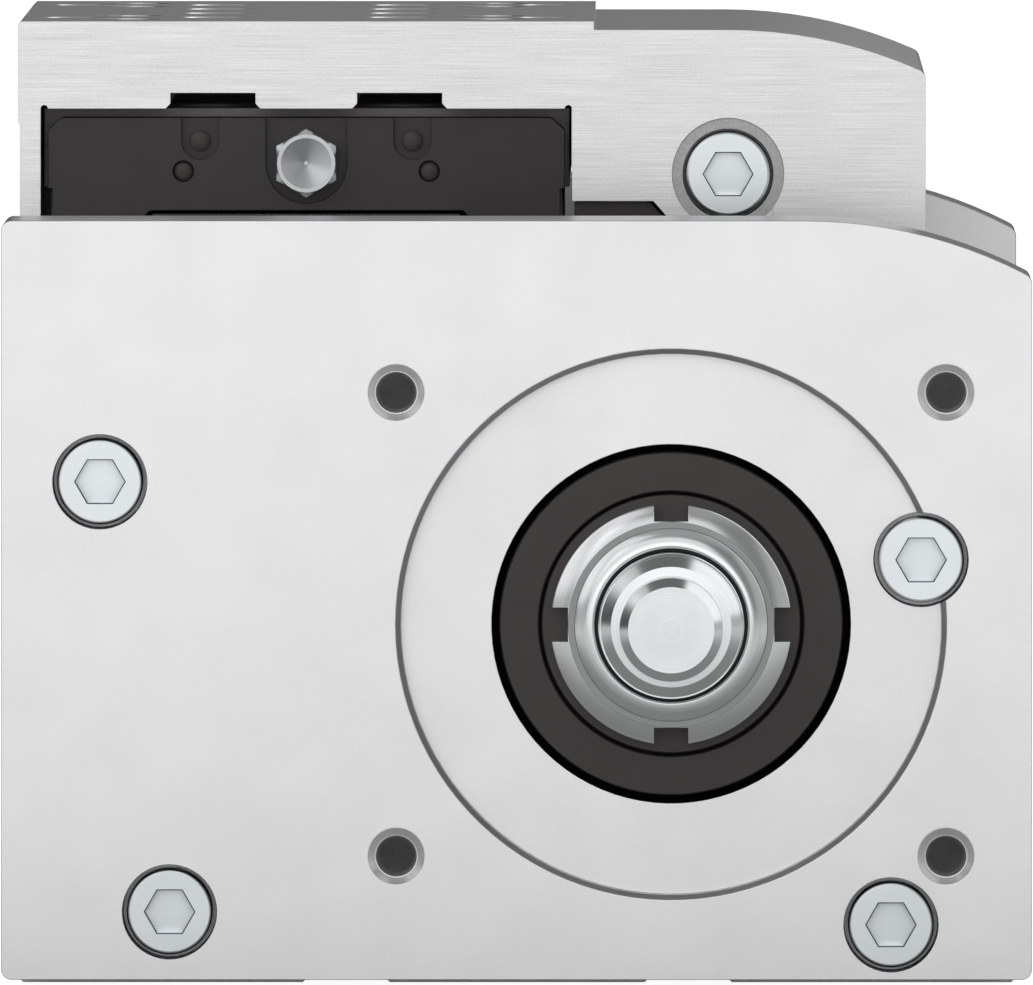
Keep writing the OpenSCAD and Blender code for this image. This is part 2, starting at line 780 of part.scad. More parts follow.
module carriage_plate() {
  color("silver") difference() {
    along(front_y, rear_y) carriage_section();
    // Block screws from above.
    for (p = block_screw_places) translate([p[0], p[1], 0]) {
      cylinder(d = block_screw_d + 2 * hole_gap, h = far);
      translate([0, 0, block_screw_seat]) cylinder(d = block_screw_d * 1.8, h = far);
    }
    // Tapped holes for the load: two rows over the relief grooves, one pair outside at each end.
    for (sx = [-1, 1], i = [-1.5 : 1.5])
      tapped_hole(rail_x + sx * groove_x, middle + i * load_hole_pitch, load_hole_d, load_hole_depth);
    for (sx = [-1, 1], sy = [-1, 1])
      tapped_hole(rail_x + sx * outer_hole_x, middle + sy * block_y, outer_hole_d, outer_hole_depth);
    for (end = [[front_y, 1], [rear_y, -1]]) grease_port(end[0], end[1]);
    for (y = [-foot_screw_y, foot_screw_y])
      translate([foot_screw_x, middle + y, 0])
        cylinder(d = foot_screw_d + 2 * run_gap, h = foot_top + foot_screw_grip);
  }
}

// A tapped hole from the pad down, with a countersunk mouth.
module tapped_hole(x, y, d, depth) {
  translate([x, y, pad_z - depth]) cylinder(d = d, h = depth + 1);
  translate([x, y, pad_z - hole_lead_in])
    cylinder(d1 = d, d2 = d + 2 * (hole_lead_in + eps), h = hole_lead_in + eps);
}

// A screwed port in an end face: a shallow spotface with a flat that runs off downwards.
module grease_port(face, dir) {
  spot = [face - dir, face + dir * spot_depth];
  head = [face - dir, face + dir * port_seat];
  deep = [face - dir, face + dir * (port_seat + port_screw_l + 2)];
  rod(min(spot), max(spot), spot_d, port_at[0], port_at[1]);
  box([port_at[0] + spot_flat[0], port_at[0] + spot_flat[1]], [min(spot), max(spot)], [0, port_at[1]]);
  rod(min(head), max(head), port_bore_d, port_at[0], port_at[1]);
  rod(min(deep), max(deep), port_screw_d + 2 * run_gap, port_at[0], port_at[1]);
}

module block_screws() {
  color("dimgray") for (p = block_screw_places)
    translate([p[0], p[1], block_screw_seat]) cap_screw_down(block_screw_d, block_screw_l);
}

module grease_port_screws() {
  color("whitesmoke") {
    translate([port_at[0], front_y + port_seat, port_at[1]]) cap_screw(port_screw_d, port_screw_l);
    translate([port_at[0], rear_y - port_seat, port_at[1]]) rotate([0, 0, 180])
      cap_screw(port_screw_d, port_screw_l);
  }
}

channel_wiper_t = 3;
channel_wiper_h = 13.5;

// Plastic plates that close the tunnel above the screw at both ends of the carriage.
module channel_wipers() {
  x = [pocket_x2 + pocket_gap, tunnel_x2 - body_gap, arm_x1 - body_gap];
  z = [tunnel_top, tunnel_top - tunnel_slope, tunnel_top - channel_wiper_h];
  color([0.2, 0.19, 0.19]) for (y = [front_y + 1, rear_y - 1 - channel_wiper_t])
    along(y, y + channel_wiper_t)
      polygon([[x[0], z[0]], [x[1], z[0]], [x[2], z[1]], [x[2], z[2]], [x[0], z[2]]]);
}

// ---------- runner blocks ----------

block_bottom = rail_seat_z + 2.8;
block_flange_gap = 3;
block_screw_depth = 8;

module block_section(w, top, side_step) {
  difference() {
    union() {
      area([rail_x - w / 2, rail_x + w / 2], [rail_top + block_flange_gap, top]);
      area([rail_x - w / 2 + side_step, rail_x + w / 2 - side_step], [block_bottom, top]);
    }
    rail_section(body_gap);
  }
}

module block_body(y) {
  half = block_l / 2 - cap_l;
  difference() {
    along(y - half, y + half) block_section(block_w, block_top, 0.8);
    for (p = block_screw_places)
      translate([p[0], p[1], block_top - block_screw_depth])
        cylinder(d = block_screw_d + 2 * run_gap, h = far);
  }
}

cap_top = block_top - 1;
cap_w = block_w - 1.2;
cap_corner = [1.6, 1.4];
cap_recess = 0.8;
nipple_z = block_top - 6.3;
nipple_recess_d = 9.6;
nipple_thread_d = 6;
nipple_thread_l = 5.5;
nipple_hex = 7;
nipple_hex_h = 3.8;
nipple_cone = [6.2, 0.4, 3.4];
cap_screw_x = 12.5;
cap_screw_z = block_top - 3.7;
cap_screw_d = 2;
cap_screw_l = 6;
cap_screw_head = [2.4, 0.7];
cap_screw_recess_d = 4.45;
cap_dimple_d = 2.5;
cap_dimple_at = [14.5, block_top - 7.3];

// One end cap, with its outer face at y and its back towards dir.
module end_cap(y, dir) {
  span = [y, y + dir * cap_l];
  skin = [y - dir, y + dir * cap_recess];
  thread = [y - dir, y + dir * (cap_screw_l + 1)];
  difference() {
    along(min(span), max(span)) difference() {
      block_section(cap_w, cap_top, 0.5);
      for (side = [-1, 1]) translate([rail_x + side * cap_w / 2, cap_top])
        polygon([[-side * cap_corner[0], eps], [side, eps], [side, -cap_corner[1]], [0, -cap_corner[1]]]);
    }
    along(min(skin), max(skin)) {
      u_recess(rail_x, nipple_z, nipple_recess_d);
      for (side = [-1, 1]) {
        u_recess(rail_x + side * cap_screw_x, cap_screw_z, cap_screw_recess_d);
        translate([rail_x + side * cap_dimple_at[0], cap_dimple_at[1]]) circle(d = cap_dimple_d);
      }
    }
    rod(min(thread), max(thread), nipple_thread_d + 2 * run_gap, rail_x, nipple_z);
    for (side = [-1, 1])
      rod(min(thread), max(thread), cap_screw_d + 2 * run_gap, rail_x + side * cap_screw_x, cap_screw_z);
  }
}

// A recess that is open at the cap's top and round below.
module u_recess(x, z, w) {
  translate([x, z]) circle(d = w);
  area([x - w / 2, x + w / 2], [z, cap_top + 1]);
}

module block_caps(y) {
  end_cap(y - block_l / 2, 1);
  end_cap(y + block_l / 2, -1);
}

module front_block_body() {
  color("silver") block_body(middle - block_y);
}

module rear_block_body() {
  color("silver") block_body(middle + block_y);
}

module front_block_end_caps() {
  color([0.24, 0.22, 0.21]) block_caps(middle - block_y);
}

module rear_block_end_caps() {
  color([0.24, 0.22, 0.21]) block_caps(middle + block_y);
}

// Two small screws hold each end cap.
module end_cap_screws() {
  color("dimgray") for (by = [-block_y, block_y], dir = [-1, 1], side = [-1, 1])
    translate([rail_x + side * cap_screw_x, middle + by - dir * (block_l / 2 - cap_recess), cap_screw_z])
      rotate([0, 0, dir > 0 ? 0 : 180]) rotate([-90, 0, 0]) {
        translate([0, 0, -cap_screw_head[1]]) cylinder(d = cap_screw_head[0], h = cap_screw_head[1]);
        cylinder(d = cap_screw_d, h = cap_screw_l);
      }
}

// Funnel grease nipples on the outer end caps.
module grease_nipples() {
  color("gainsboro") for (dir = [-1, 1])
    translate([rail_x, middle - dir * (block_y + block_l / 2 - cap_recess), nipple_z])
      rotate([0, 0, dir > 0 ? 0 : 180]) rotate([-90, 0, 0]) difference() {
        union() {
          translate([0, 0, -nipple_hex_h]) rotate(30)
            cylinder(d = nipple_hex / cos(30), h = nipple_hex_h, $fn = 6);
          translate([0, 0, -1]) cylinder(d = nipple_thread_d, h = nipple_thread_l + 1);
        }
        translate([0, 0, -nipple_hex_h - eps])
          cylinder(d1 = nipple_cone[0], d2 = nipple_cone[1], h = nipple_cone[2]);
      }
}

// ---------- nut and housing ----------

housing_y1 = middle - housing_l / 2;
housing_y2 = middle + housing_l / 2;
housing_corner_r = 4;
nut_flange_w = housing_w - 1;
nut_flange_l = 10;
nut_flange_r = 6;
nut_head_depth = 5;
nut_tail = 4;
nut_bore = screw_d + 2 * hole_gap;
nut_screw_d = 4;
nut_screw_l = 16;
nut_screw_at = 15.6;

module nut_housing() {
  half = housing_w / 2;
  color("silver") difference() {
    union() {
      along(housing_y1, housing_y2)
        round_area([screw_x - half, screw_x + half], [screw_z - half, housing_top], housing_corner_r);
      box([arm_x1, arm_x2], [middle - foot_l / 2, middle + foot_l / 2], [housing_top - 2, foot_top]);
      box([arm_x1, screw_x + half], [housing_y1, housing_y2], [screw_z, foot_top - 1]);
    }
    rod(housing_y1 - 1, housing_y2 + 1, nut_d + 2 * seat_gap);
    for (sx = [-1, 1], sz = [-1, 1])
      rod(housing_y1 - 1, housing_y1 + nut_screw_l - 2, nut_screw_d + 2 * run_gap,
        screw_x + sx * nut_screw_at, screw_z + sz * nut_screw_at);
    for (y = [-foot_screw_y, foot_screw_y])
      translate([foot_screw_x, middle + y, housing_top - foot_t])
        cylinder(d = foot_screw_d + 2 * hole_gap, h = 2 * foot_t + 1);
    // The foot is clear of the nut's flange.
    box([arm_x1 - 1, arm_x2 + 1], [housing_y1 - nut_flange_l - 0.5, housing_y1], [0, housing_top + hole_gap]);
  }
}

module housing_screws() {
  color("dimgray") for (y = [-foot_screw_y, foot_screw_y])
    translate([foot_screw_x, middle + y, housing_top - 2]) mirror([0, 0, 1])
      cap_screw_down(foot_screw_d, foot_screw_l);
}

module ball_nut() {
  half = nut_flange_w / 2;
  color("gainsboro") difference() {
    union() {
      rod(housing_y1 - 1, housing_y2 + nut_tail, nut_d);
      along(housing_y1 - nut_flange_l, housing_y1)
        round_area([screw_x - half, screw_x + half], [screw_z - half, screw_z + half], nut_flange_r);
    }
    rod(housing_y1 - far / 2, housing_y2 + far / 2, nut_bore);
    for (y = [housing_y1 - nut_flange_l - 1, housing_y2 + nut_tail - wiper_t])
      rod(y, y + wiper_t + 1, wiper_d + 2 * seat_gap);
    for (sx = [-1, 1], sz = [-1, 1]) {
      at = [screw_x + sx * nut_screw_at, screw_z + sz * nut_screw_at];
      rod(housing_y1 - nut_flange_l - 1, housing_y1 + 1, nut_screw_d + 2 * hole_gap, at[0], at[1]);
      rod(housing_y1 - nut_flange_l - 1, housing_y1 - nut_head_depth, nut_screw_d * 2, at[0], at[1]);
    }
  }
}

wiper_t = 3;
wiper_d = 27;

// Wipers in both ends of the nut, running on the screw.
module nut_wipers() {
  color("black") for (y = [housing_y1 - nut_flange_l, housing_y2 + nut_tail - wiper_t])
    ring(y, y + wiper_t, wiper_d, screw_d + 2 * run_gap);
}

module nut_flange_screws() {
  color("dimgray") for (sx = [-1, 1], sz = [-1, 1])
    translate([screw_x + sx * nut_screw_at, housing_y1 - nut_head_depth, screw_z + sz * nut_screw_at])
      cap_screw(nut_screw_d, nut_screw_l);
}

base_profile();
guide_rail();
rail_screws();
rail_hole_caps();
drive_end_plate();
rear_end_plate();
drive_plate_screws();
rear_plate_screws();
end_bumpers();
fixed_bearing_outer_ring();
fixed_bearing_balls();
bearing_retainer();
floating_bearing_outer_ring();
floating_bearing_balls();
ball_screw();
lock_nut();
labyrinth_ring();
fixed_bearing_inner_ring();
floating_bearing_inner_ring();
rear_circlip();
carriage_plate();
front_block_body();
front_block_end_caps();
rear_block_body();
rear_block_end_caps();
end_cap_screws();
grease_nipples();
block_screws();
grease_port_screws();
channel_wipers();
nut_housing();
housing_screws();
ball_nut();
nut_flange_screws();
nut_wipers();
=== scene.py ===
import bpy, bmesh, json, math
from mathutils import Matrix, Vector

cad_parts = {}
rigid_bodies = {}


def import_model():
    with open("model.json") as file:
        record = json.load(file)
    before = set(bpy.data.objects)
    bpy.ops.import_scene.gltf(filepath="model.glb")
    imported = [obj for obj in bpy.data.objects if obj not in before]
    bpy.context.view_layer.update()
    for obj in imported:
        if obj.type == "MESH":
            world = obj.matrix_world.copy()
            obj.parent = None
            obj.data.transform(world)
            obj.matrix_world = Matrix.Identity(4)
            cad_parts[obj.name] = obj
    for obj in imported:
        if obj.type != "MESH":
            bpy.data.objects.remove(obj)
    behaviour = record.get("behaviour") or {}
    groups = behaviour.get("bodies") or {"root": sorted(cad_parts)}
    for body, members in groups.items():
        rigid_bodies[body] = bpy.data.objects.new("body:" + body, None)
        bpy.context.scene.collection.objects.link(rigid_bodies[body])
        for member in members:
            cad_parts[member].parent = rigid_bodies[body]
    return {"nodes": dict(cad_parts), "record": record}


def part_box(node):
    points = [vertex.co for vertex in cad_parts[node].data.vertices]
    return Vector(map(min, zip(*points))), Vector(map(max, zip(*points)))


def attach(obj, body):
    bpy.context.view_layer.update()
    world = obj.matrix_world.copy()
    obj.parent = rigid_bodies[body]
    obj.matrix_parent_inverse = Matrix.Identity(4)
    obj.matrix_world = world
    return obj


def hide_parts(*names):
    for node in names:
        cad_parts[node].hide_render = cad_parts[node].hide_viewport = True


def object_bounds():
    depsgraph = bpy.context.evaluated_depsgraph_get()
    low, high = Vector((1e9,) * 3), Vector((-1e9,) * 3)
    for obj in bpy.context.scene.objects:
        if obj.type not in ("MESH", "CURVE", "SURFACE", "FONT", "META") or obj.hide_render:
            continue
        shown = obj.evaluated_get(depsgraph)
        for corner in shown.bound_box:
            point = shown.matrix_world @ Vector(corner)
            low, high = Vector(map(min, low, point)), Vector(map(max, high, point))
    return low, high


for leftover in list(bpy.data.objects):
    bpy.data.objects.remove(leftover)
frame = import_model()
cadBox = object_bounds()
mm = 0.001
print("stage: frame loaded")

# Stations that the pieces share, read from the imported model.
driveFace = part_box("drive_end_plate")[0].y
ringLow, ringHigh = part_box("labyrinth_ring")
screwX, screwZ = (ringLow.x + ringHigh.x) / 2, (ringLow.z + ringHigh.z) / 2
ontoScrew = Matrix.Translation((screwX, 0, screwZ)) @ Matrix.Rotation(math.radians(-90), 4, "X")
bodyOf = {node: body for body, nodes in frame["record"]["behaviour"]["bodies"].items() for node in nodes}

# The camera stands far off, a little above, square to the drive end.
cameraSettings = {"place": (screwX, driveFace - 5.2, 0.2085), "target": (0, driveFace, 0.05807),
                  "lens": 1557.7, "sensor": 36, "clip": (0.1, 80)}


def addObject(name, data):
    obj = bpy.data.objects.new(name, data)
    bpy.context.scene.collection.objects.link(obj)
    return obj


def makeCamera(s):
    data = bpy.data.cameras.new("camera")
    data.lens, data.sensor_width = s["lens"], s["sensor"]
    data.clip_start, data.clip_end = s["clip"]
    camera = addObject("camera", data)
    camera.location = s["place"]
    aim = Vector(s["target"]) - Vector(s["place"])
    camera.rotation_euler = aim.to_track_quat("-Z", "Y").to_euler()
    bpy.context.scene.camera = camera


makeCamera(cameraSettings)


# Node trees: a Field is one value in a tree, and sums with it add Math nodes.
class Field:
    def __init__(self, kit, socket):
        self.kit, self.socket = kit, socket

    def math(self, operation, *values):
        return self.kit.add("ShaderNodeMath", {"operation": operation}, dict(enumerate(values)))

    def __add__(self, other):
        return self.math("ADD", self, other)

    __radd__ = __add__

    def __sub__(self, other):
        return self.math("SUBTRACT", self, other)

    def __rsub__(self, other):
        return self.math("SUBTRACT", other, self)

    def __mul__(self, other):
        return self.math("MULTIPLY", self, other)

    __rmul__ = __mul__

    def __truediv__(self, other):
        return self.math("DIVIDE", self, other)

    def __mod__(self, other):
        return self.math("FLOORED_MODULO", self, other)

    def __gt__(self, other):
        return self.math("GREATER_THAN", self, other)

    def call(self, operation, *others):
        return self.math(operation, self, *others)


class Kit:
    def __init__(self, tree):
        self.tree = tree

    def add(self, kind, settings={}, values={}, out=0):
        node = self.tree.nodes.new(kind)
        for key, setting in settings.items():
            setattr(node, key, setting)
        for key, value in values.items():
            if isinstance(value, Field):
                self.tree.links.new(value.socket, node.inputs[key])
            else:
                node.inputs[key].default_value = value
        return Field(self, node.outputs[out]) if len(node.outputs) else node

    def coords(self):
        return self.add("ShaderNodeTexCoord", {}, {}, "Object")

    def aboutScrew(self):
        # The place, counted from the screw's axis.
        return self.stretch(self.coords(), (1, 1, 1), (-screwX, 0, -screwZ))

    def normals(self):
        return self.split(self.add("ShaderNodeTexCoord", {}, {}, "Normal"))

    def stretch(self, vector, scale, move=(0, 0, 0)):
        return self.add("ShaderNodeVectorMath", {"operation": "MULTIPLY_ADD"},
                        {0: vector, 1: scale, 2: [m * s for m, s in zip(move, scale)]})

    def split(self, vector):
        return [self.add("ShaderNodeSeparateXYZ", {}, {0: vector}, axis) for axis in "XYZ"]

    def join(self, x, y, z):
        return self.add("ShaderNodeCombineXYZ", {}, {0: x, 1: y, 2: z})

    def noise(self, vector, scale=1, detail=2, roughness=0.5):
        return self.add("ShaderNodeTexNoise", {}, {"Vector": vector, "Scale": scale, "Detail": detail,
                                                   "Roughness": roughness})

    def blend(self, factor, first, second):
        return self.add("ShaderNodeMix", {"data_type": "RGBA"}, {0: factor, 6: first, 7: second}, 2)

    def ramp(self, value, low, high):
        return self.add("ShaderNodeMapRange", {}, {0: value, 1: low, 2: high})

    def bump(self, height, strength, distance):
        return self.add("ShaderNodeBump", {}, {"Height": height, "Strength": strength, "Distance": distance})


def rgb(red, green, blue):
    # The three numbers are as a colour picker shows them, 0 to 255.
    return [(c / 255 / 12.92 if c < 11 else ((c / 255 + 0.055) / 1.055) ** 2.4) for c in (red, green, blue)] + [1]


def newFinish(name, build):
    finish = bpy.data.materials.new(name)
    finish.use_nodes = True
    finish.node_tree.nodes.clear()
    kit = Kit(finish.node_tree)
    sockets = build(kit)
    shader = kit.add("ShaderNodeBsdfPrincipled", {}, sockets)
    kit.add("ShaderNodeOutputMaterial", {}, {0: shader})
    return finish


# The wall, edge, rimEdge and bore values set how dark painted shade makes walls, broken edges and bores.
blasted = {"light": rgb(254, 254, 254), "dark": rgb(236, 236, 237), "speckle": 0.22 * mm, "cloud": 9 * mm,
           "metallic": 0.85, "roughness": 0.41, "bump": 0.25, "depth": 0.012 * mm, "craters": 0.55, "clouds": 0.45,
           "wall": 0.6, "wallFacing": (0.97, 0.8), "edge": 0.8, "edgeFacing": (0.25, 0.4), "edgeUp": (0.66, 0.5),
           "rimEdge": 0.35, "rimFrom": 55 * mm, "foot": 2 * mm, "bore": 0.02, "boreFacing": (0.35, 0.25),
           "bores": ((-48.5, 59.3, 5.7), (-40.4, 9.2, 5.7), (47.1, 50.2, 5.7), (43.6, 7.7, 5.7), (18, 42.7, 21))}


def blastedAluminium(kit, s=blasted):
    # Glass-bead blasting: tiny craters of even size, and faint clouds where the nozzle passed. Walls are
    # smoother than the faces and painted darker, a painted shade; broken edges get painted shade lines, and the listed
    # bores (the screws' counterbores and the wide bore round the screw's axis) are painted nearly black, a painted
    # shade.
    at = kit.coords()
    craters = kit.noise(at, 1 / s["speckle"], 3, 0.6)
    clouds = kit.noise(at, 1 / s["cloud"], 2)
    tone = craters * s["craters"] + clouds * s["clouds"]
    nx, ny, nz = kit.normals()
    facing = ny.call("ABSOLUTE")
    wall = kit.ramp(facing, *s["wallFacing"])
    px, py, pz = kit.split(at)
    # Painted shade: a dark line along broken edges that face sideways, above the foot.
    edge = wall * kit.ramp(facing, *s["edgeFacing"]) * kit.ramp(nz, *s["edgeUp"]) * (pz > s["foot"])
    outside = px.call("ABSOLUTE") > s["rimFrom"]
    edge = edge * (outside * (s["edge"] - s["rimEdge"]) + (1 - s["edge"]))
    # Painted shade: nearly black inside the listed bores, on what faces sideways.
    boreShade = 0
    for bore in s["bores"]:
        dx, dz = px - bore[0] * mm, pz - bore[1] * mm
        boreShade = (dx * dx + dz * dz).call("LESS_THAN", (bore[2] * mm) ** 2) + boreShade
    boreShade = boreShade * kit.ramp(facing, *s["boreFacing"])
    shade = (1 - wall * (1 - s["wall"])) * (1 - edge) * (1 - boreShade * (1 - s["bore"]))
    colour = kit.blend(tone, s["dark"], s["light"])
    return {"Base Color": kit.blend(shade, (0, 0, 0, 1), colour),
            "Metallic": wall * (1 - s["metallic"]) + s["metallic"],
            "Roughness": tone * -0.08 - wall * 0.12 + (s["roughness"] + 0.04),
            "Normal": kit.bump(craters, s["bump"], s["depth"])}


milled = {"light": rgb(240, 240, 240), "dark": rgb(198, 198, 199), "line": 0.1 * mm, "length": 12 * mm,
          "grain": 0.16 * mm, "mix": (0.52, 0.12, 0.36), "contrast": (0.31, 0.69), "edge": 0.35,
          "edgeFrom": (0.95, 0.8), "edgeTo": (0.3, 0.4), "edgeUp": (0.6, 0.4), "side": 0.7,
          "roughness": 0.3, "bump": 0.2, "depth": 0.01 * mm, "spot": (24.7, 93.7), "spotRadius": 6.62,
          "spotLight": rgb(204, 204, 204), "spotDark": rgb(150, 150, 150), "spotGrain": 0.2 * mm}


def milledAluminium(kit, s=milled):
    # Cutter lines run across the module on the end faces and the top, and along it on the two sides.
    at = kit.coords()
    nx, ny, nz = kit.normals()
    onSide, away = nx.call("ABSOLUTE") > s["side"], ny.call("ABSOLUTE")
    fine, long = 1 / s["line"], 1 / s["length"]
    close, broad, specks = s["mix"]

    def lines(size):
        across = kit.noise(kit.stretch(at, (long * size, fine * size, fine * size)), 1, 3, 0.65)
        along = kit.noise(kit.stretch(at, (fine * size, long * size, fine * size)), 1, 3, 0.65)
        return along * onSide + across * (1 - onSide)

    tone = lines(1) * close + lines(0.5) * broad + kit.noise(at, 1 / s["grain"], 2, 0.6) * specks
    contrast = kit.ramp(tone, *s["contrast"])
    # Painted shade: edges that face sideways and not up are painted darker.
    edge = kit.ramp(away, *s["edgeFrom"]) * kit.ramp(away, *s["edgeTo"]) * kit.ramp(nz, *s["edgeUp"])
    # The grease ports' spotfaces are grained and duller, with no lines.
    x, y, z = kit.split(at)
    x, z = x - s["spot"][0] * mm, z - s["spot"][1] * mm
    spot = (x * x + z * z).call("LESS_THAN", (s["spotRadius"] * mm) ** 2)
    grain = kit.noise(at, 1 / s["spotGrain"], 2, 0.6)
    lined = kit.blend(edge * (s["edge"] - 1) + 1, (0, 0, 0, 1), kit.blend(contrast, s["dark"], s["light"]))
    return {"Base Color": kit.blend(spot, lined, kit.blend(grain, s["spotDark"], s["spotLight"])), "Metallic": 1.0,
            "Roughness": contrast * -0.1 + spot * 0.1 + (s["roughness"] + 0.08),
            "Normal": kit.bump(tone, s["bump"], s["depth"])}


extruded = {"light": rgb(228, 229, 231), "dark": rgb(206, 207, 210), "line": 0.35 * mm, "roughness": 0.4,
            "bump": 0.15, "depth": 0.02 * mm, "grain": 0.15 * mm, "broader": 12}


def extrudedAluminium(kit, s=extruded):
    # Die lines along the whole bar under a satin anodised skin.
    at = kit.coords()
    fine = 1 / s["line"]
    die = kit.noise(kit.stretch(at, (fine, 4, fine)), 1, 3, 0.6)
    wide = kit.noise(kit.stretch(at, (fine / s["broader"], 2, fine / s["broader"])), 1, 2)
    grain = kit.noise(at, 1 / s["grain"], 2)
    tone = die * 0.5 + wide * 0.3 + grain * 0.2
    return {"Base Color": kit.blend(tone, s["dark"], s["light"]), "Metallic": 1.0,
            "Roughness": tone * -0.12 + (s["roughness"] + 0.06),
            "Normal": kit.bump(die * 0.7 + grain * 0.3, s["bump"], s["depth"])}


ground = {"light": rgb(214, 214, 212), "dark": rgb(176, 176, 175), "line": 0.09 * mm, "length": 22 * mm,
          "stain": 14 * mm, "roughness": 0.26, "bump": 0.12, "depth": 0.006 * mm}


def groundSteel(kit, s=ground):
    # Grinding lines along the module, and a faint stain of oil.
    at = kit.coords()
    fine, long = 1 / s["line"], 1 / s["length"]
    lines = kit.noise(kit.stretch(at, (fine, long, fine)), 1, 3, 0.6)
    stain = kit.noise(at, 1 / s["stain"], 3, 0.6)
    tone = lines * 0.65 + stain * 0.35
    return {"Base Color": kit.blend(tone, s["dark"], s["light"]), "Metallic": 1.0,
            "Roughness": tone * -0.14 + (s["roughness"] + 0.07),
            "Normal": kit.bump(lines, s["bump"], s["depth"])}


turned = {"light": rgb(236, 238, 238), "dark": rgb(198, 201, 201), "line": 0.12 * mm, "roughness": 0.2,
          "bump": 0.3, "depth": 0.008 * mm, "stain": 7 * mm, "grain": 0.125 * mm, "matte": (11.22, 11.97),
          "matteTone": 0.45, "gap": (8.44, 8.97), "gapDepth": (-124.75, -119.6), "gapDark": 0.97}


def turnedSteel(kit, s=turned):
    # Rings left by the lathe, all round the screw's own axis. The locknut has a matte ring, and the gap
    # inside its collar is painted nearly black, a painted shade.
    at = kit.aboutScrew()
    x, y, z = kit.split(at)
    radius = (x * x + z * z).call("SQRT")
    rings = kit.noise(kit.stretch(kit.join(radius, y, 0), (1 / s["line"], 1 / s["line"], 1)), 1, 2, 0.6)
    stain = kit.noise(at, 1 / s["stain"], 2)
    tone = rings * 0.6 + stain * 0.4
    matte = (radius > s["matte"][0] * mm) * radius.call("LESS_THAN", s["matte"][1] * mm)
    grain = kit.noise(at, 1 / s["grain"], 2) * 0.3 + 0.85
    # Painted shade: the gap inside the locknut's collar.
    gap = (radius > s["gap"][0] * mm) * radius.call("LESS_THAN", s["gap"][1] * mm)
    gap = gap * (y > s["gapDepth"][0] * mm) * y.call("LESS_THAN", s["gapDepth"][1] * mm)
    shade = (1 - matte * (1 - grain * s["matteTone"])) * (1 - gap * s["gapDark"])
    return {"Base Color": kit.blend(shade, (0, 0, 0, 1), kit.blend(tone, s["dark"], s["light"])), "Metallic": 1.0,
            "Roughness": tone * -0.1 + matte * 0.2 + (s["roughness"] + 0.05),
            "Normal": kit.bump(rings, s["bump"], s["depth"])}


mottled = {
    # The side below 1 here is painted shade on the sides of the screw heads.
    "plated_steel": {"light": (228, 233, 235), "dark": (216, 222, 224), "roughness": 0.3, "metallic": 1.0,
                     "grain": 0.2, "side": 0.05},
    "zinc": {"light": (214, 218, 220), "dark": (198, 203, 205), "roughness": 0.42, "metallic": 1.0, "grain": 0.2},
    "bored": {"light": (232, 232, 232), "dark": (190, 190, 190), "roughness": 0.3, "metallic": 0.8,
              "grain": 0.25, "bump": 0.2},
    "black_steel": {"light": (57, 52, 50), "dark": (46, 42, 40), "roughness": 0.42, "metallic": 0.0, "grain": 0.3},
    # Black oxide, with painted shade: nearly black past the collar's radius round the screw's axis.
    "collar_black": {"light": (57, 52, 50), "dark": (46, 42, 40), "roughness": 0.42, "metallic": 0.0,
                     "grain": 0.3, "collar": 20.01},
    # Black steel painted light grey: painted light that lifts the runner blocks out of the carriage's shadow.
    "worn_black": {"light": (178, 175, 173), "dark": (154, 152, 150), "roughness": 0.4, "metallic": 0.0,
                   "grain": 0.4},
    "bearing_steel": {"light": (225, 226, 228), "dark": (205, 206, 208), "roughness": 0.12, "metallic": 1.0,
                      "grain": 1.5, "bump": 0.03},
    "dark_plastic": {"light": (55, 51, 50), "dark": (46, 43, 42), "roughness": 0.5, "metallic": 0.0,
                     "grain": 0.25, "bump": 0.25},
    "rubber": {"light": (38, 37, 37), "dark": (28, 27, 27), "roughness": 0.7, "metallic": 0.0, "grain": 0.4,
               "bump": 0.3},
}
mottledCommon = {"bump": 0.1, "depth": 0.01 * mm, "cloud": 6 * mm, "side": 1.0, "sideFacing": (0.8, 0.94),
                 "collar": None, "collarDark": rgb(6, 6, 6)}


def mottledFinish(given):
    # A plain surface with an even grain: plating, black oxide, moulded plastic, rubber. A side below 1 is
    # painted shade: it darkens what looks neither along the module nor up, such as the sides of screw heads.
    # Outside a collar's radius round the screw's axis the surface is painted nearly black, a painted shade.
    s = {**mottledCommon, **given}

    def build(kit):
        at = kit.coords()
        small = kit.noise(at, 1 / (s["grain"] * mm), 2, 0.6)
        wide = kit.noise(at, 1 / s["cloud"], 2)
        tone = small * 0.5 + wide * 0.5
        colour, metal = kit.blend(tone, rgb(*s["dark"]), rgb(*s["light"])), s["metallic"]
        # Painted shade on what faces neither along the module nor up.
        if s["side"] < 1:
            nx, ny, nz = kit.normals()
            facing = ny.call("ABSOLUTE").call("MAXIMUM", nz.call("ABSOLUTE"))
            shaded = [c * s["side"] for c in rgb(*s["dark"])[:3]] + [1]
            colour = kit.blend(kit.ramp(facing, *s["sideFacing"]), shaded, colour)
        # Painted shade past the collar's radius.
        if s["collar"]:
            x, y, z = kit.split(kit.aboutScrew())
            beyond = (x * x + z * z).call("SQRT") > s["collar"] * mm
            colour = kit.blend(beyond, colour, s["collarDark"])
            metal = beyond.call("MAXIMUM", s["metallic"])
        return {"Base Color": colour, "Metallic": metal, "Roughness": tone * -0.1 + (s["roughness"] + 0.05),
                "Normal": kit.bump(small, s["bump"], s["depth"])}
    return build


def camel(slot):
    first, *others = slot.split("_")
    return first + "".join(word.title() for word in others)


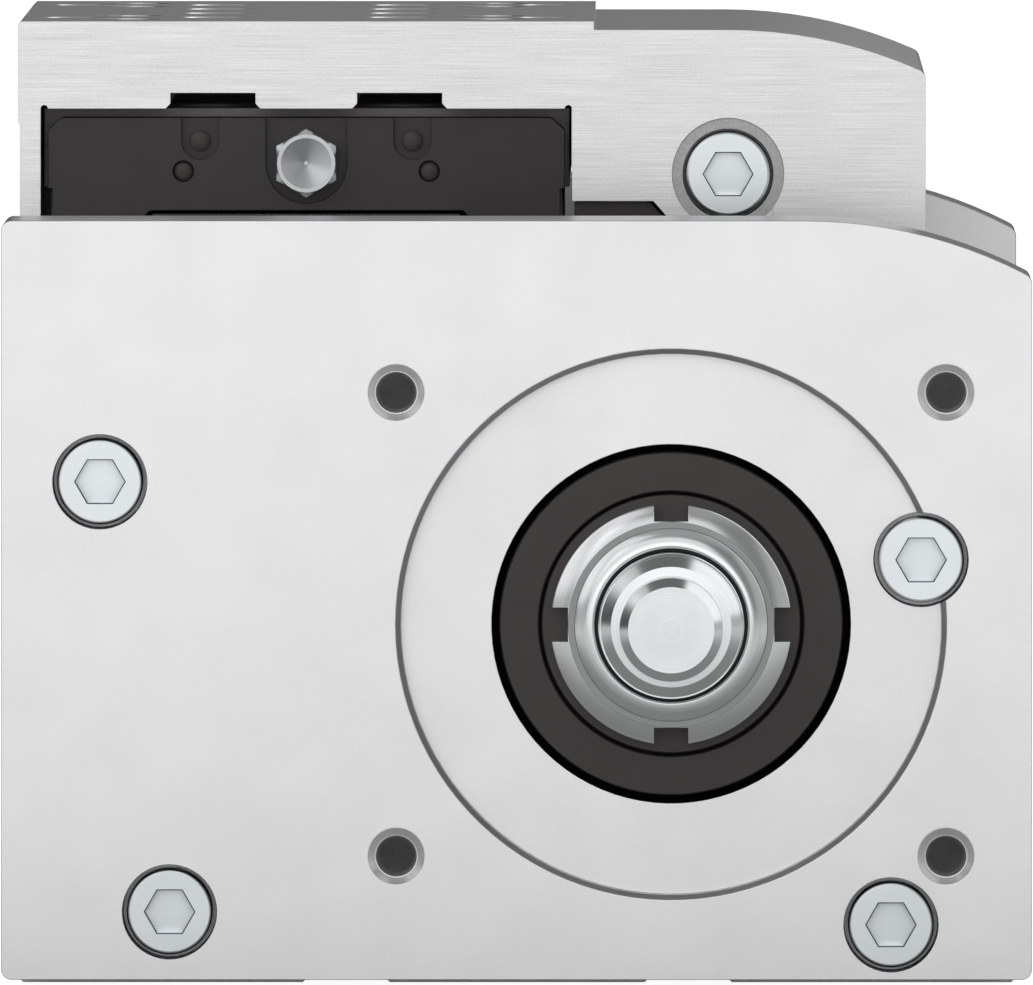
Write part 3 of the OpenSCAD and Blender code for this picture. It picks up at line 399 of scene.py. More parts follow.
builders = {"blasted_aluminium": blastedAluminium, "milled_aluminium": milledAluminium,
            "extruded_aluminium": extrudedAluminium, "ground_steel": groundSteel, "turned_steel": turnedSteel,
            **{slot: mottledFinish(given) for slot, given in mottled.items()}}
finishes = {slot: newFinish(camel(slot), build) for slot, build in builders.items()}
print("stage: finishes ready")


def keepPiece(name, mesh, nodes, slot, finish=None):
    piece = addObject(name, mesh)
    mesh.materials.clear()
    mesh.materials.append(finishes[finish or slot])
    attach(piece, bodyOf[nodes[0]])
    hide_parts(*nodes)


def settled(obj):
    # The object's mesh with its modifiers worked in; the object itself is then removed.
    graph = bpy.context.evaluated_depsgraph_get()
    mesh = bpy.data.meshes.new_from_object(obj.evaluated_get(graph), depsgraph=graph)
    bpy.data.objects.remove(obj)
    return mesh


def meshFrom(shape, name):
    mesh = bpy.data.meshes.new(name)
    shape.verts.index_update()
    mesh.from_pydata([v.co.copy() for v in shape.verts], [], [[v.index for v in f.verts] for f in shape.faces])
    shape.free()
    return mesh


sharpAngle, weldGap = math.radians(24), 1e-6


def softEdged(mesh, width, segments):
    # Breaks every sharp edge, and keeps flat faces flat.
    obj = addObject("work", mesh)
    mesh.polygons.foreach_set("use_smooth", [True] * len(mesh.polygons))
    bevel = obj.modifiers.new("edges", "BEVEL")
    bevel.width, bevel.segments, bevel.limit_method = width * mm, segments, "ANGLE"
    bevel.angle_limit = sharpAngle
    bevel.use_clamp_overlap = True
    bevel.miter_outer = "MITER_ARC"
    normals = obj.modifiers.new("normals", "WEIGHTED_NORMAL")
    normals.weight = 90
    return settled(obj)


def weldedShape(mesh):
    shape = bmesh.new()
    shape.from_mesh(mesh)
    bmesh.ops.remove_doubles(shape, verts=shape.verts, dist=weldGap)
    return shape


def dressed(node, slot, width, segments=2, rim=None, finish=None):
    # A CAD node's own shape, welded into whole faces, with broken edges. A rim is a circle round the
    # screw's axis (station, radius, width) whose edge is turned off wider than the rest.
    shape = weldedShape(frame["nodes"][node].data)
    bmesh.ops.dissolve_limit(shape, angle_limit=math.radians(0.4), verts=shape.verts, edges=shape.edges)
    if rim:
        station, radius, flat = [value * mm for value in rim.values()]

        def onRim(vert):
            away = math.hypot(vert.co.x - screwX, vert.co.z - screwZ)
            return abs(vert.co.y - station) < 0.02 * mm and abs(away - radius) < 0.05 * mm

        circle = [edge for edge in shape.edges if all(onRim(vert) for vert in edge.verts)]
        bmesh.ops.bevel(shape, geom=circle, offset=flat, segments=1, affect="EDGES", profile=0.5)
    mesh = softEdged(meshFrom(shape, node), width, segments)
    keepPiece(node + "_dressed", mesh, [node], slot, finish)


def geometryTree(name, sockets):
    tree = bpy.data.node_groups.new(name, "GeometryNodeTree")
    tree.interface.new_socket("Geometry", in_out="INPUT", socket_type="NodeSocketGeometry")
    for label, kind in sockets.items():
        tree.interface.new_socket(label, in_out="INPUT", socket_type="NodeSocket" + kind)
    tree.interface.new_socket("Geometry", in_out="OUTPUT", socket_type="NodeSocketGeometry")
    given = tree.nodes.new("NodeGroupInput")
    kit = Kit(tree)
    return tree, kit, {socket.name: Field(kit, socket) for socket in given.outputs if socket.name}


def endTree(kit, geometry, finish):
    real = kit.add("GeometryNodeRealizeInstances", {}, {0: geometry})
    painted = kit.add("GeometryNodeSetMaterial", {}, {"Geometry": real, "Material": finish})
    kit.add("NodeGroupOutput", {}, {0: painted})


def grown(tree, mesh, inputs):
    obj = addObject("work", mesh)
    modifier = obj.modifiers.new("build", "NODES")
    modifier.node_group = tree
    for item in tree.interface.items_tree:
        if item.in_out == "INPUT" and item.name in inputs:
            modifier[item.identifier] = inputs[item.name]
    return settled(obj)


def partsAtPointsTree():
    # One part on every point, tilted alike and then turned on its own axis by chance.
    tree, kit, given = geometryTree("partsAtPoints", {"Part": "Object", "Tilt": "Vector", "Loose turn": "Float",
                                                      "Seed": "Int", "Finish": "Material"})
    part = kit.add("GeometryNodeObjectInfo", {}, {"Object": given["Part"]}, "Geometry")
    placed = kit.add("GeometryNodeInstanceOnPoints", {}, {"Points": given["Geometry"], "Instance": part,
                                                          "Rotation": given["Tilt"]})
    turn = kit.add("FunctionNodeRandomValue", {"data_type": "FLOAT"},
                   {2: 0.0, 3: given["Loose turn"], "Seed": given["Seed"]}, 1)
    turned = kit.add("GeometryNodeRotateInstances", {}, {"Instances": placed, "Rotation": kit.join(0, 0, turn)})
    endTree(kit, turned, given["Finish"])
    return tree


def ballRingsTree():
    # Rows of balls round the screw's axis.
    tree, kit, given = geometryTree("ballRings", {"Count": "Int", "Circle": "Float", "Ball": "Float",
                                                  "Rows": "Int", "Row step": "Float", "Start": "Vector",
                                                  "Finish": "Material"})
    circle = kit.add("GeometryNodeMeshCircle", {}, {"Vertices": given["Count"], "Radius": given["Circle"]})
    rows = kit.add("GeometryNodeMeshLine", {}, {"Count": given["Rows"], "Offset": kit.join(0, 0, given["Row step"])})
    points = kit.add("GeometryNodeRealizeInstances", {}, {0: kit.add(
        "GeometryNodeInstanceOnPoints", {}, {"Points": rows, "Instance": circle})})
    ball = kit.add("GeometryNodeMeshUVSphere", {}, {"Segments": 20, "Rings": 12, "Radius": given["Ball"]})
    smooth = kit.add("GeometryNodeSetShadeSmooth", {}, {"Geometry": ball})
    balls = kit.add("GeometryNodeInstanceOnPoints", {}, {"Points": points, "Instance": smooth})
    placed = kit.add("GeometryNodeTransform", {}, {"Geometry": kit.add("GeometryNodeRealizeInstances", {}, {0: balls}),
                                                   "Translation": given["Start"],
                                                   "Rotation": (math.radians(-90), 0, 0)})
    endTree(kit, placed, given["Finish"])
    return tree


def helicalBarTree():
    # A round bar with grooves that wind round it: the rows of the grid follow the lead.
    tree, kit, given = geometryTree("helicalBar", {
        "Start": "Float", "End": "Float", "Radius": "Float", "Lead": "Float", "Starts": "Float",
        "Groove": "Float", "Groove centre": "Float", "Around": "Int", "Rows": "Int",
        "Axis X": "Float", "Axis Z": "Float", "Finish": "Material"})
    grid = kit.add("GeometryNodeMeshGrid", {}, {"Size X": 1.0, "Size Y": 1.0, "Vertices X": given["Around"],
                                               "Vertices Y": given["Rows"]})
    u, v, flat = kit.split(kit.add("GeometryNodeInputPosition"))
    share = u + 0.5
    length = given["End"] - given["Start"]
    y = given["Start"] + (v + 0.5) * (length + given["Lead"]) - share * given["Lead"]
    y = y.call("MAXIMUM", given["Start"]).call("MINIMUM", given["End"])
    pitch = given["Lead"] / given["Starts"]
    phase = ((share * given["Lead"] + y) / pitch) % 1.0 - 0.5
    lean = (given["Lead"] / (given["Radius"] * (2 * math.pi))).call("ARCTANGENT").call("COSINE")
    off = phase * pitch * lean
    drop = (given["Groove"] * given["Groove"] - off * off).call("MAXIMUM", 0.0).call("SQRT")
    radius = given["Radius"].call("MINIMUM", given["Groove centre"] - drop)
    angle = share * (2 * math.pi)
    place = kit.join(given["Axis X"] + radius * angle.call("COSINE"), y, given["Axis Z"] + radius * angle.call("SINE"))
    moved = kit.add("GeometryNodeSetPosition", {}, {"Geometry": grid, "Position": place})
    welded = kit.add("GeometryNodeMergeByDistance", {}, {"Geometry": moved, "Distance": 2e-6})
    endTree(kit, kit.add("GeometryNodeSetShadeSmooth", {}, {"Geometry": welded}), given["Finish"])
    return tree


partsAtPoints, ballRings, helicalBar = partsAtPointsTree(), ballRingsTree(), helicalBarTree()


def pointMesh(name, places):
    mesh = bpy.data.meshes.new(name)
    mesh.from_pydata([Vector(p) for p in places], [], [])
    return mesh


def lathe(name, rings, sides=48, hollow=False):
    # A turned solid on the Z axis; a ring is (height, radius) or (height, apothem, 6) for a hexagon.
    # A hollow one's last ring joins its first, so the profile runs all round the wall.
    shape = bmesh.new()
    loops = []
    for ring in rings:
        loop = []
        for index in range(sides):
            angle = 2 * math.pi * index / sides
            radius = ring[1]
            if len(ring) > 2:
                radius /= math.cos((angle % (math.pi / 3)) - math.pi / 6)
            loop.append(shape.verts.new((radius * math.cos(angle), radius * math.sin(angle), ring[0])))
        loops.append(loop)
    for low, high in zip(loops, loops[1:] + loops[:1] * hollow):
        for index in range(sides):
            after = (index + 1) % sides
            shape.faces.new((low[index], low[after], high[after], high[index]))
    if not hollow:
        shape.faces.new(loops[0][::-1])
        shape.faces.new(loops[-1])
    bmesh.ops.recalc_face_normals(shape, faces=shape.faces)
    for edge in shape.edges:
        edge.smooth = edge.calc_face_angle(0) < math.radians(32)
    for face in shape.faces:
        face.smooth = abs(face.normal.z) < 0.9999
    mesh = bpy.data.meshes.new(name)
    shape.to_mesh(mesh)
    shape.free()
    return mesh


def copies(name, part, places, tilt, nodes, slot, looseTurn=0.0, seed=3, finish=None):
    # The part at every place, with its +Z turned to the tilt; a loose turn is the most it may turn by chance.
    source = addObject("part", part)
    mesh = grown(partsAtPoints, pointMesh(name, places), {
        "Part": source, "Tilt": tilt, "Loose turn": looseTurn, "Seed": seed, "Finish": finishes[finish or slot]})
    bpy.data.objects.remove(source)
    keepPiece(name, mesh, nodes, slot, finish)


def turnedPiece(name, rings, nodes, slot, sides=96, hollow=False, finish=None):
    # Turned on the screw's axis; the heights are stations along the module, in millimetres.
    mesh = lathe(name, [(y * mm, r * mm) for y, r in rings], sides, hollow)
    mesh.transform(ontoScrew)
    keepPiece(name, mesh, nodes, slot, finish)


print("stage: trees ready")


def solidsOf(node):
    # Lowest and highest corner of every separate solid in a CAD node.
    shape = weldedShape(frame["nodes"][node].data)
    seen, found = set(), []
    for first in shape.verts:
        if first in seen:
            continue
        group, front = [], [first]
        seen.add(first)
        while front:
            vert = front.pop()
            group.append(vert.co.copy())
            for edge in vert.link_edges:
                other = edge.other_vert(vert)
                if other not in seen:
                    seen.add(other)
                    front.append(other)
        found.append((Vector([min(c[i] for c in group) for i in range(3)]),
                      Vector([max(c[i] for c in group) for i in range(3)])))
    shape.free()
    return found


screwShape = {"socketDepth": 0.55, "keyEdge": 0.018, "edge": 0.028, "seatEdge": 0.03, "point": 0.15,
              "pointRadius": 0.37}


def socketScrew(name, d, length, s=screwShape):
    # Seated at the origin, shank along +Z; every setting is a share of the thread's diameter.
    head, key, top, edge = d * 5 / 6, d * 5 / 12, -d, s["edge"]
    rings = [(top + d * s["socketDepth"], key, 6), (top + d * s["keyEdge"], key, 6),
             (top, key + d * s["keyEdge"], 6), (top, head - edge * 2.2 * d),
             (top + edge * 0.25 * d, head - edge * 1.1 * d), (top + edge * 0.8 * d, head - edge * 0.3 * d),
             (top + edge * 1.8 * d, head), (-s["seatEdge"] * d, head), (0, head - s["seatEdge"] * d), (0, d / 2),
             (length - d * s["point"], d / 2), (length, d * s["pointRadius"])]
    return lathe(name, [(r[0] * mm, r[1] * mm) + r[2:] for r in rings])


tilts = {"+Y": (math.radians(-90), 0, 0), "-Y": (math.radians(90), 0, 0), "-Z": (math.radians(180), 0, 0),
         "+Z": (0, 0, 0)}


def screwRow(name, node, d, tilt, slot, keep=lambda low, high: True, looseTurn=0.0, seed=3):
    # The screws of one CAD node that point the same way, each where its solid is.
    places, axis = [], "XYZ".index(tilt[1])
    for low, high in solidsOf(node):
        if keep(low, high):
            middle, length = (low + high) / 2, high[axis] - low[axis] - d * mm
            middle[axis] = low[axis] + d * mm if tilt[0] == "+" else high[axis] - d * mm
            places.append(middle)
    copies(name, socketScrew(name, d, length / mm), places, tilts[tilt], [node], slot, looseTurn, seed)


middleY = (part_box("carriage_plate")[0].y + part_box("carriage_plate")[1].y) / 2
screwRow("drivePlateScrews", "drive_plate_screws", 6, "+Y", "plated_steel")
screwRow("rearPlateScrews", "rear_plate_screws", 6, "-Y", "plated_steel", looseTurn=1.0, seed=5)
screwRow("greasePortScrewFront", "grease_port_screws", 6, "+Y", "plated_steel", lambda low, high: high.y < middleY)
screwRow("greasePortScrewRear", "grease_port_screws", 6, "-Y", "plated_steel", lambda low, high: low.y > middleY)
screwRow("blockScrews", "block_screws", 5, "-Z", "plated_steel", looseTurn=1.0, seed=11)
screwRow("railScrews", "rail_screws", 4, "-Z", "black_steel", looseTurn=1.0, seed=2)
screwRow("housingScrews", "housing_screws", 6, "+Z", "black_steel", looseTurn=1.0, seed=8)
screwRow("nutFlangeScrews", "nut_flange_screws", 4, "+Y", "black_steel", looseTurn=1.0, seed=4)

capScrew = {"head": 1.2, "headHeight": 0.7, "dome": 0.3, "shank": 1.0, "point": 0.2, "length": 6, "pin": 1.18,
            "pinHeight": 0.5, "pinAcross": 2.0, "pinDown": 3.6, "seeds": (6, 9)}


def domed(radius, height, dome, steps=5):
    # Rings of a head whose top is a shallow dome.
    rings = [(-height - dome * math.cos(math.pi / 2 * t / steps), radius * math.sin(math.pi / 2 * t / steps) + 0.01)
             for t in range(steps)]
    return rings + [(-height, radius), (0, radius)]


def endCapScrews(s):
    # Each end cap has two domed screws and two locating pins just outside and below them.
    head = domed(s["head"], s["headHeight"] - s["dome"], s["dome"])
    head += [(0, s["shank"]), (s["length"], s["shank"] - s["point"])]
    screw = lathe("endCapScrew", [(y * mm, r * mm) for y, r in head], 36)
    rings = domed(s["pin"], s["pinHeight"] - s["dome"], s["dome"])
    pin = lathe("locatingPin", [(y * mm, r * mm) for y, r in rings], 36)
    centre = sum(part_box("guide_rail"), Vector()).x / 2
    driveEnds = [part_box(cap)[0].y for cap in ("front_block_end_caps", "rear_block_end_caps")]
    for side, tilt, end in ((1, "+Y", "Front"), (-1, "-Y", "Rear")):
        screws, pins = [], []
        for low, high in solidsOf("end_cap_screws"):
            middle = (low + high) / 2
            toDrive = any(abs(low.y - driveEnd) < 1 * mm for driveEnd in driveEnds)
            if toDrive == (side == 1):
                middle.y = low.y + s["headHeight"] * mm if side == 1 else high.y - s["headHeight"] * mm
                screws.append(middle)
                outward = math.copysign(s["pinAcross"] * mm, middle.x - centre)
                pins.append(middle + Vector((outward, 0, -s["pinDown"] * mm)))
        for name, part, places, seed in (("endCapScrews", screw, screws, s["seeds"][0]),
                                         ("locatingPins", pin, pins, s["seeds"][1])):
            copies(name + end, part.copy(), places, tilts[tilt], ["end_cap_screws"], "black_steel", 1.0, seed + side)


endCapScrews(capScrew)

railCap = {"foot": 0.1, "edge": 0.12, "rim": 0.25, "lip": 0.3, "floor": 0.5, "dish": 0.12}


def railHoleCaps(s):
    places = []
    for low, high in solidsOf("rail_hole_caps"):
        places.append(((low.x + high.x) / 2, (low.y + high.y) / 2, low.z))
    radius, height = (high.x - low.x) / 2 / mm, (high.z - low.z) / mm
    rings = [(0, radius - s["foot"]), (s["foot"], radius), (height - s["edge"], radius),
             (height, radius - s["edge"]), (height, radius - s["rim"] - s["lip"]),
             (height - s["dish"], radius - s["rim"] - s["floor"])]
    part = lathe("railCap", [(h * mm, r * mm) for h, r in rings], 36)
    copies("railHoleCaps", part, places, tilts["+Z"], ["rail_hole_caps"], "dark_plastic")


railHoleCaps(railCap)

nipple = {"hex": 3.5, "hexHeight": 3.8, "edge": 0.35, "mouth": 2.92, "throat": 0.25, "cone": 1.9, "shank": 3.0,
          "shankLength": 5.5, "turn": 30}


def greaseNipples(s):
    # A funnel nipple: a cone runs into a hexagon whose corners are turned off.
    rings = [(-s["hexHeight"] + s["cone"], s["throat"]), (-s["hexHeight"] + s["cone"] * 0.86, s["throat"] + 0.1),
             (-s["hexHeight"] + 0.04, s["mouth"]), (-s["hexHeight"], s["mouth"] + 0.06),
             (-s["hexHeight"], s["hex"] - 0.08), (-s["hexHeight"] + s["edge"], s["hex"], 6),
             (-0.1, s["hex"], 6), (0, s["hex"] - 0.1, 6), (0, s["shank"]), (s["shankLength"], s["shank"])]
    part = lathe("nipple", [(r[0] * mm, r[1] * mm) + r[2:] for r in rings], 72)
    part.transform(Matrix.Rotation(math.radians(s["turn"]), 4, "Z"))
    for low, high in solidsOf("grease_nipples"):
        front = low.y < middleY
        middle = (low + high) / 2
        middle.y = low.y + s["hexHeight"] * mm if front else high.y - s["hexHeight"] * mm
        copies("greaseNipple" + ("Front" if front else "Rear"), part.copy(), [middle],
               tilts["+Y" if front else "-Y"], ["grease_nipples"], "plated_steel", finish="zinc")


greaseNipples(nipple)
print("stage: screws and nipples")


dressed("base_profile", "extruded_aluminium", 0.3)
dressed("guide_rail", "ground_steel", 0.12)
pilot = {"station": -122.5, "radius": 31.5, "flat": 0.62}
dressed("drive_end_plate", "blasted_aluminium", 0.14, rim=pilot)
dressed("rear_end_plate", "blasted_aluminium", 0.14)
dressed("end_bumpers", "rubber", 0.6, segments=3)

ringNut = {"front": -119.5, "step": -116.9, "back": -116.5, "outer": 20, "thread": 20.85, "inner": 15.43, "edge": 0.15}
labyrinth = {"front": -119.5, "back": -116.5, "outer": 15.05, "inner": 8.52, "edge": 0.12}
holeThread = {"across": 64, "up": 54, "mouth": 0.86, "flare": 3.26, "radius": 2.49, "core": 2.12, "pitch": 0.8,
              "depth": 7.6, "point": 1.3, "back": 17.5}


def turnedRing(name, s, node):
    front, back, edge, outer, inner = s["front"], s["back"], s["edge"], s["outer"], s["inner"]
    wall = [(back, inner), (front + edge, inner), (front, inner + edge), (front, outer - edge), (front + edge, outer)]
    if "thread" in s:
        wall += [(s["step"], outer), (s["step"], s["thread"])]
    wall += [(back, wall[-1][1])]
    # The finish paints shade nearly black past the collar's radius.
    turnedPiece(name, wall, [node], "black_steel", 128, True, "collar_black")


def motorHoleThreads(s):
    # A threaded sleeve with a drilled end in each motor hole.
    rings = [(s["back"], s["radius"]), (s["mouth"] + 0.1, s["radius"]), (s["mouth"] - 0.1, s["radius"] + 0.1),
             (0.03, s["flare"]), (0.01, s["flare"] - 0.02), (s["mouth"] - 0.15, s["radius"] + 0.02),
             (s["mouth"] - 0.14, s["radius"] - 0.1), (s["mouth"], s["radius"] - 0.12)]
    turns = int((s["depth"] - s["mouth"]) / s["pitch"])
    for turn in range(turns):
        start = s["mouth"] + (turn + 0.1) * s["pitch"]
        rings += [(start + s["pitch"] * 0.4, s["core"]), (start + s["pitch"] * 0.55, s["core"]),
                  (start + s["pitch"] * 0.9, s["radius"] - 0.04)]
    rings += [(s["depth"], s["core"]), (s["depth"] + s["point"], 0.03)]
    part = lathe("holeThread", [(y * mm, r * mm) for y, r in rings], 48)
    places = [(screwX + sx * s["across"] / 2 * mm, driveFace, screwZ + sz * s["up"] / 2 * mm)
              for sx in (-1, 1) for sz in (-1, 1)]
    copies("motorHoleThreads", part, places, tilts["+Y"], ["drive_end_plate"], "blasted_aluminium",
           finish="bored")


turnedRing("ringNut", ringNut, "bearing_retainer")
motorHoleThreads(holeThread)
dressed("fixed_bearing_outer_ring", "bearing_steel", 0.3)
dressed("floating_bearing_outer_ring", "bearing_steel", 0.3)

bearingRows = {"fixed": {"count": 12, "circle": 28.5, "ball": 5.9, "node": "fixed_bearing_balls", "rows": 2},
               "floating": {"count": 9, "circle": 20.0, "ball": 4.4, "node": "floating_bearing_balls", "rows": 1}}
bearingSeal = {"inward": 2.4, "outward": 2.3, "front": -1.65, "rear": 0.65, "thickness": 1}


def bearingBalls(name, s, seal=bearingSeal):
    low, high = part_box(s["node"])
    step = (high.y - low.y - s["ball"] * mm) / max(1, s["rows"] - 1)
    mesh = grown(ballRings, bpy.data.meshes.new(name), {
        "Count": s["count"], "Circle": s["circle"] / 2 * mm, "Ball": s["ball"] / 2 * mm, "Rows": s["rows"],
        "Row step": step, "Start": (screwX, low.y + s["ball"] / 2 * mm, screwZ), "Finish": finishes["bearing_steel"]})
    keepPiece(name + "Balls", mesh, [s["node"]], "bearing_steel")
    # A rubber seal just inside each end of the rings. Its inner edge laps the turning ring.
    inner, outer = s["circle"] / 2 - seal["inward"], s["circle"] / 2 + seal["outward"]
    for end, near in (("Front", low.y / mm + seal["front"]), ("Rear", high.y / mm + seal["rear"])):
        far = near + seal["thickness"]
        wall = [(near, inner), (far, inner), (far, outer), (near, outer)]
        turnedPiece(name + "Seal" + end, wall, [s["node"]], "rubber", hollow=True)


for bearingName, bearing in bearingRows.items():
    bearingBalls(bearingName, bearing)
print("stage: base and plates")


ballThread = {"start": -85.2, "end": 99.7, "radius": 9.97, "lead": 20.0, "starts": 2, "groove": 1.85,
              "centre": 10.25, "rowsPerLead": 52, "around": 57}
nutThread = {"start": -130.7, "end": -126.2, "radius": 8.38, "lead": 1.0, "starts": 1, "groove": 0.34,
             "centre": 8.5, "rowsPerLead": 10, "around": 73}


def threadPiece(name, s):
    rows = round((s["end"] - s["start"] + s["lead"]) / s["lead"] * s["rowsPerLead"]) + 1
    mesh = grown(helicalBar, bpy.data.meshes.new(name), {
        "Start": s["start"] * mm, "End": s["end"] * mm, "Radius": s["radius"] * mm, "Lead": s["lead"] * mm,
        "Starts": float(s["starts"]), "Groove": s["groove"] * mm, "Groove centre": s["centre"] * mm,
        "Around": s["around"], "Rows": rows, "Axis X": screwX, "Axis Z": screwZ, "Finish": finishes["turned_steel"]})
    shape = weldedShape(mesh)
    bmesh.ops.dissolve_degenerate(shape, dist=1e-7, edges=shape.edges)
    bmesh.ops.holes_fill(shape, edges=[e for e in shape.edges if e.is_boundary], sides=400)
    bmesh.ops.recalc_face_normals(shape, faces=shape.faces)
    for edge in shape.edges:
        edge.smooth = edge.calc_face_angle(0) < sharpAngle
    shape.to_mesh(mesh)
    shape.free()
    keepPiece(name, mesh, ["ball_screw"], "turned_steel")


shaft = {"tip": -143.5, "neck": -132, "relief": -126.1, "bearing": -99, "thread": -85, "threadEnd": 99.5,
         "shoulder": 113.5, "seat": 120.5, "groove": 128.5, "tail": 131.5,
         "journal": 6, "neckRadius": 8.2, "bearingRadius": 8.5, "radius": 10, "step": 7.5, "rear": 6, "edge": 1,
         "neckSlope": 1.2, "reliefEdge": 0.1, "shoulderEdge": 0.3, "threadEdge": 0.4, "grooveWidth": 1.1,
         "grooveDepth": 0.27}


def shaftEnds(s):
    edge, light, heavy, fine = s["edge"], s["shoulderEdge"], s["threadEdge"], s["reliefEdge"]
    journal, bearing, radius, rear = s["journal"], s["bearingRadius"], s["radius"], s["rear"]
    grooveEnd, grooveFloor = s["groove"] + s["grooveWidth"], rear - s["grooveDepth"]
    driveEnd = [(s["tip"], journal - edge), (s["tip"] + edge, journal), (s["neck"] - 0.03, journal),
                (s["neck"], journal + edge), (s["neck"] + s["neckSlope"], s["neckRadius"]),
                (s["relief"], s["neckRadius"]), (s["relief"], bearing - fine), (s["relief"] + fine, bearing),
                (s["bearing"], bearing), (s["bearing"], radius - light), (s["bearing"] + light, radius),
                (s["thread"] - heavy, radius), (s["thread"], radius - heavy)]
    rearEnd = [(s["threadEnd"], radius - heavy), (s["threadEnd"] + heavy, radius),
               (s["shoulder"] - light, radius), (s["shoulder"], radius - light), (s["shoulder"], s["step"]),
               (s["seat"], s["step"]), (s["seat"], rear), (s["groove"], rear), (s["groove"], grooveFloor),
               (grooveEnd, grooveFloor), (grooveEnd, rear), (s["tail"], rear), (s["tail"] + edge, rear - edge)]
    turnedPiece("shaftFront", driveEnd, ["ball_screw"], "turned_steel", 128)
    turnedPiece("shaftRear", rearEnd, ["ball_screw"], "turned_steel", 128)


threadPiece("ballThread", ballThread)
threadPiece("nutThread", nutThread)
shaftEnds(shaft)
lockNut = {"front": -123.5, "back": -119.5, "bore": 8.52, "mouth": 8.95, "mouthDepth": 3, "dome": -124.9,
           "domeCentre": 9.1, "domeRadius": 3.1, "domeEnd": 42, "face": 12, "outer": 14, "edge": 0.25, "fall": 0.5,
           "slot": 4, "slotDepth": 2, "slots": 4, "domeSteps": 12, "sides": 240}


def slottedNut(s):
    # A collar turned to a shallow dome, and a coned face with four spanner slots.
    front, dome, far = s["front"], s["dome"], s["outer"] + 1
    rings = [(s["back"], s["bore"]), (dome + s["mouthDepth"], s["bore"]), (dome + s["mouthDepth"], s["mouth"]),
             (dome + 0.06, s["mouth"])]
    for step in range(s["domeSteps"] + 1):
        tilt = math.radians(s["domeEnd"] * step / s["domeSteps"])
        rings.append((dome + s["domeRadius"] * (1 - math.cos(tilt)),
                      s["domeCentre"] + s["domeRadius"] * math.sin(tilt)))
    rings += [(front - 0.1, rings[-1][1] + 0.03), (front + 0.08, rings[-1][1] + 0.1), (front + 0.08, s["face"] - 0.04),
              (front, s["face"]), (front + s["fall"], s["outer"] - s["edge"]),
              (front + s["fall"] + s["edge"], s["outer"]), (s["back"], s["outer"])]
    nut = lathe("lockNut", [(y * mm, r * mm) for y, r in rings], s["sides"], True)
    cutter = bmesh.new()
    for turn in range(s["slots"]):
        box = Matrix.Rotation(2 * math.pi / s["slots"] * turn, 4, "Z") @ Matrix.Translation(
            ((s["outer"] - s["slotDepth"] + far) / 2 * mm, 0, (s["back"] + dome) / 2 * mm))
        bmesh.ops.create_cube(cutter, size=1, matrix=box @ Matrix.Diagonal(
            ((far - s["outer"] + s["slotDepth"]) * mm, s["slot"] * mm, (s["back"] - dome + 2) * mm, 1)))
    slots, work = addObject("slots", meshFrom(cutter, "slots")), addObject("work", nut)
    cut = work.modifiers.new("slots", "BOOLEAN")
    cut.object, cut.operation, cut.solver = slots, "DIFFERENCE", "EXACT"
    nut = settled(work)
    bpy.data.objects.remove(slots)
    nut.transform(ontoScrew)
    keepPiece("lockNutTurned", nut, ["lock_nut"], "turned_steel")


slottedNut(lockNut)
turnedRing("labyrinthRing", labyrinth, "labyrinth_ring")
dressed("fixed_bearing_inner_ring", "bearing_steel", 0.3)
dressed("floating_bearing_inner_ring", "bearing_steel", 0.3)
dressed("rear_circlip", "black_steel", 0.08)
print("stage: screw")


dressed("carriage_plate", "milled_aluminium", 0.2)
# The runner blocks' finish is painted lighter, a painted light against the carriage's shadow.
dressed("front_block_body", "black_steel", 0.1, finish="worn_black")
dressed("rear_block_body", "black_steel", 0.1, finish="worn_black")
dressed("front_block_end_caps", "dark_plastic", 0.2)
dressed("rear_block_end_caps", "dark_plastic", 0.2)
# The channel wipers are dark plastic plates in the tunnel over the screw: part wiper, part a dark piece standing in
# for the shade inside the tunnel.
dressed("channel_wipers", "dark_plastic", 0.2)
dressed("nut_housing", "milled_aluminium", 0.4)
dressed("ball_nut", "ground_steel", 0.3)
dressed("nut_wipers", "rubber", 0.3)
print("stage: carriage")


studio = {"floorSize": 60, "floorTone": 0.32, "floorLight": 0.85, "floorGlow": 0.09, "farGlow": 0.5,
          "floorEdge": (0.16, 0.34), "front": 0.72, "side": 0.5,
          "overhead": 0.4, "dim": 0.25, "low": 0.1, "strip": 1.3, "left": 0.95, "top": 0.74}
# Where each part of the room fades in, as a direction's share from 0 to 1.
fades = {"front": (0.9, 0.97), "overhead": (0.45, 0.8), "side": (0.5, 0.7), "behind": (0.3, 0.7),
         "broadside": (0.1, 0.25), "window": (0.82, 0.88), "left": (0.3, 0.5), "leftTop": (0.35, 0.6),
         "top": (0.6, 0.8), "topWidth": (0.06, 0.16)}
windowAim, lampAim = (0.77, 0.64), Vector((0, -0.12, 0.05))
softboxes = {
    "front": {"place": (-0.16, -1.4, 0.46), "size": 1.2, "power": 3.3},
    "key": {"place": (-0.62, -0.52, 0.6), "size": 0.9, "power": 1.6},
    "back": {"place": (0.6, 1.2, 1.5), "size": 0.8, "power": 4},
}


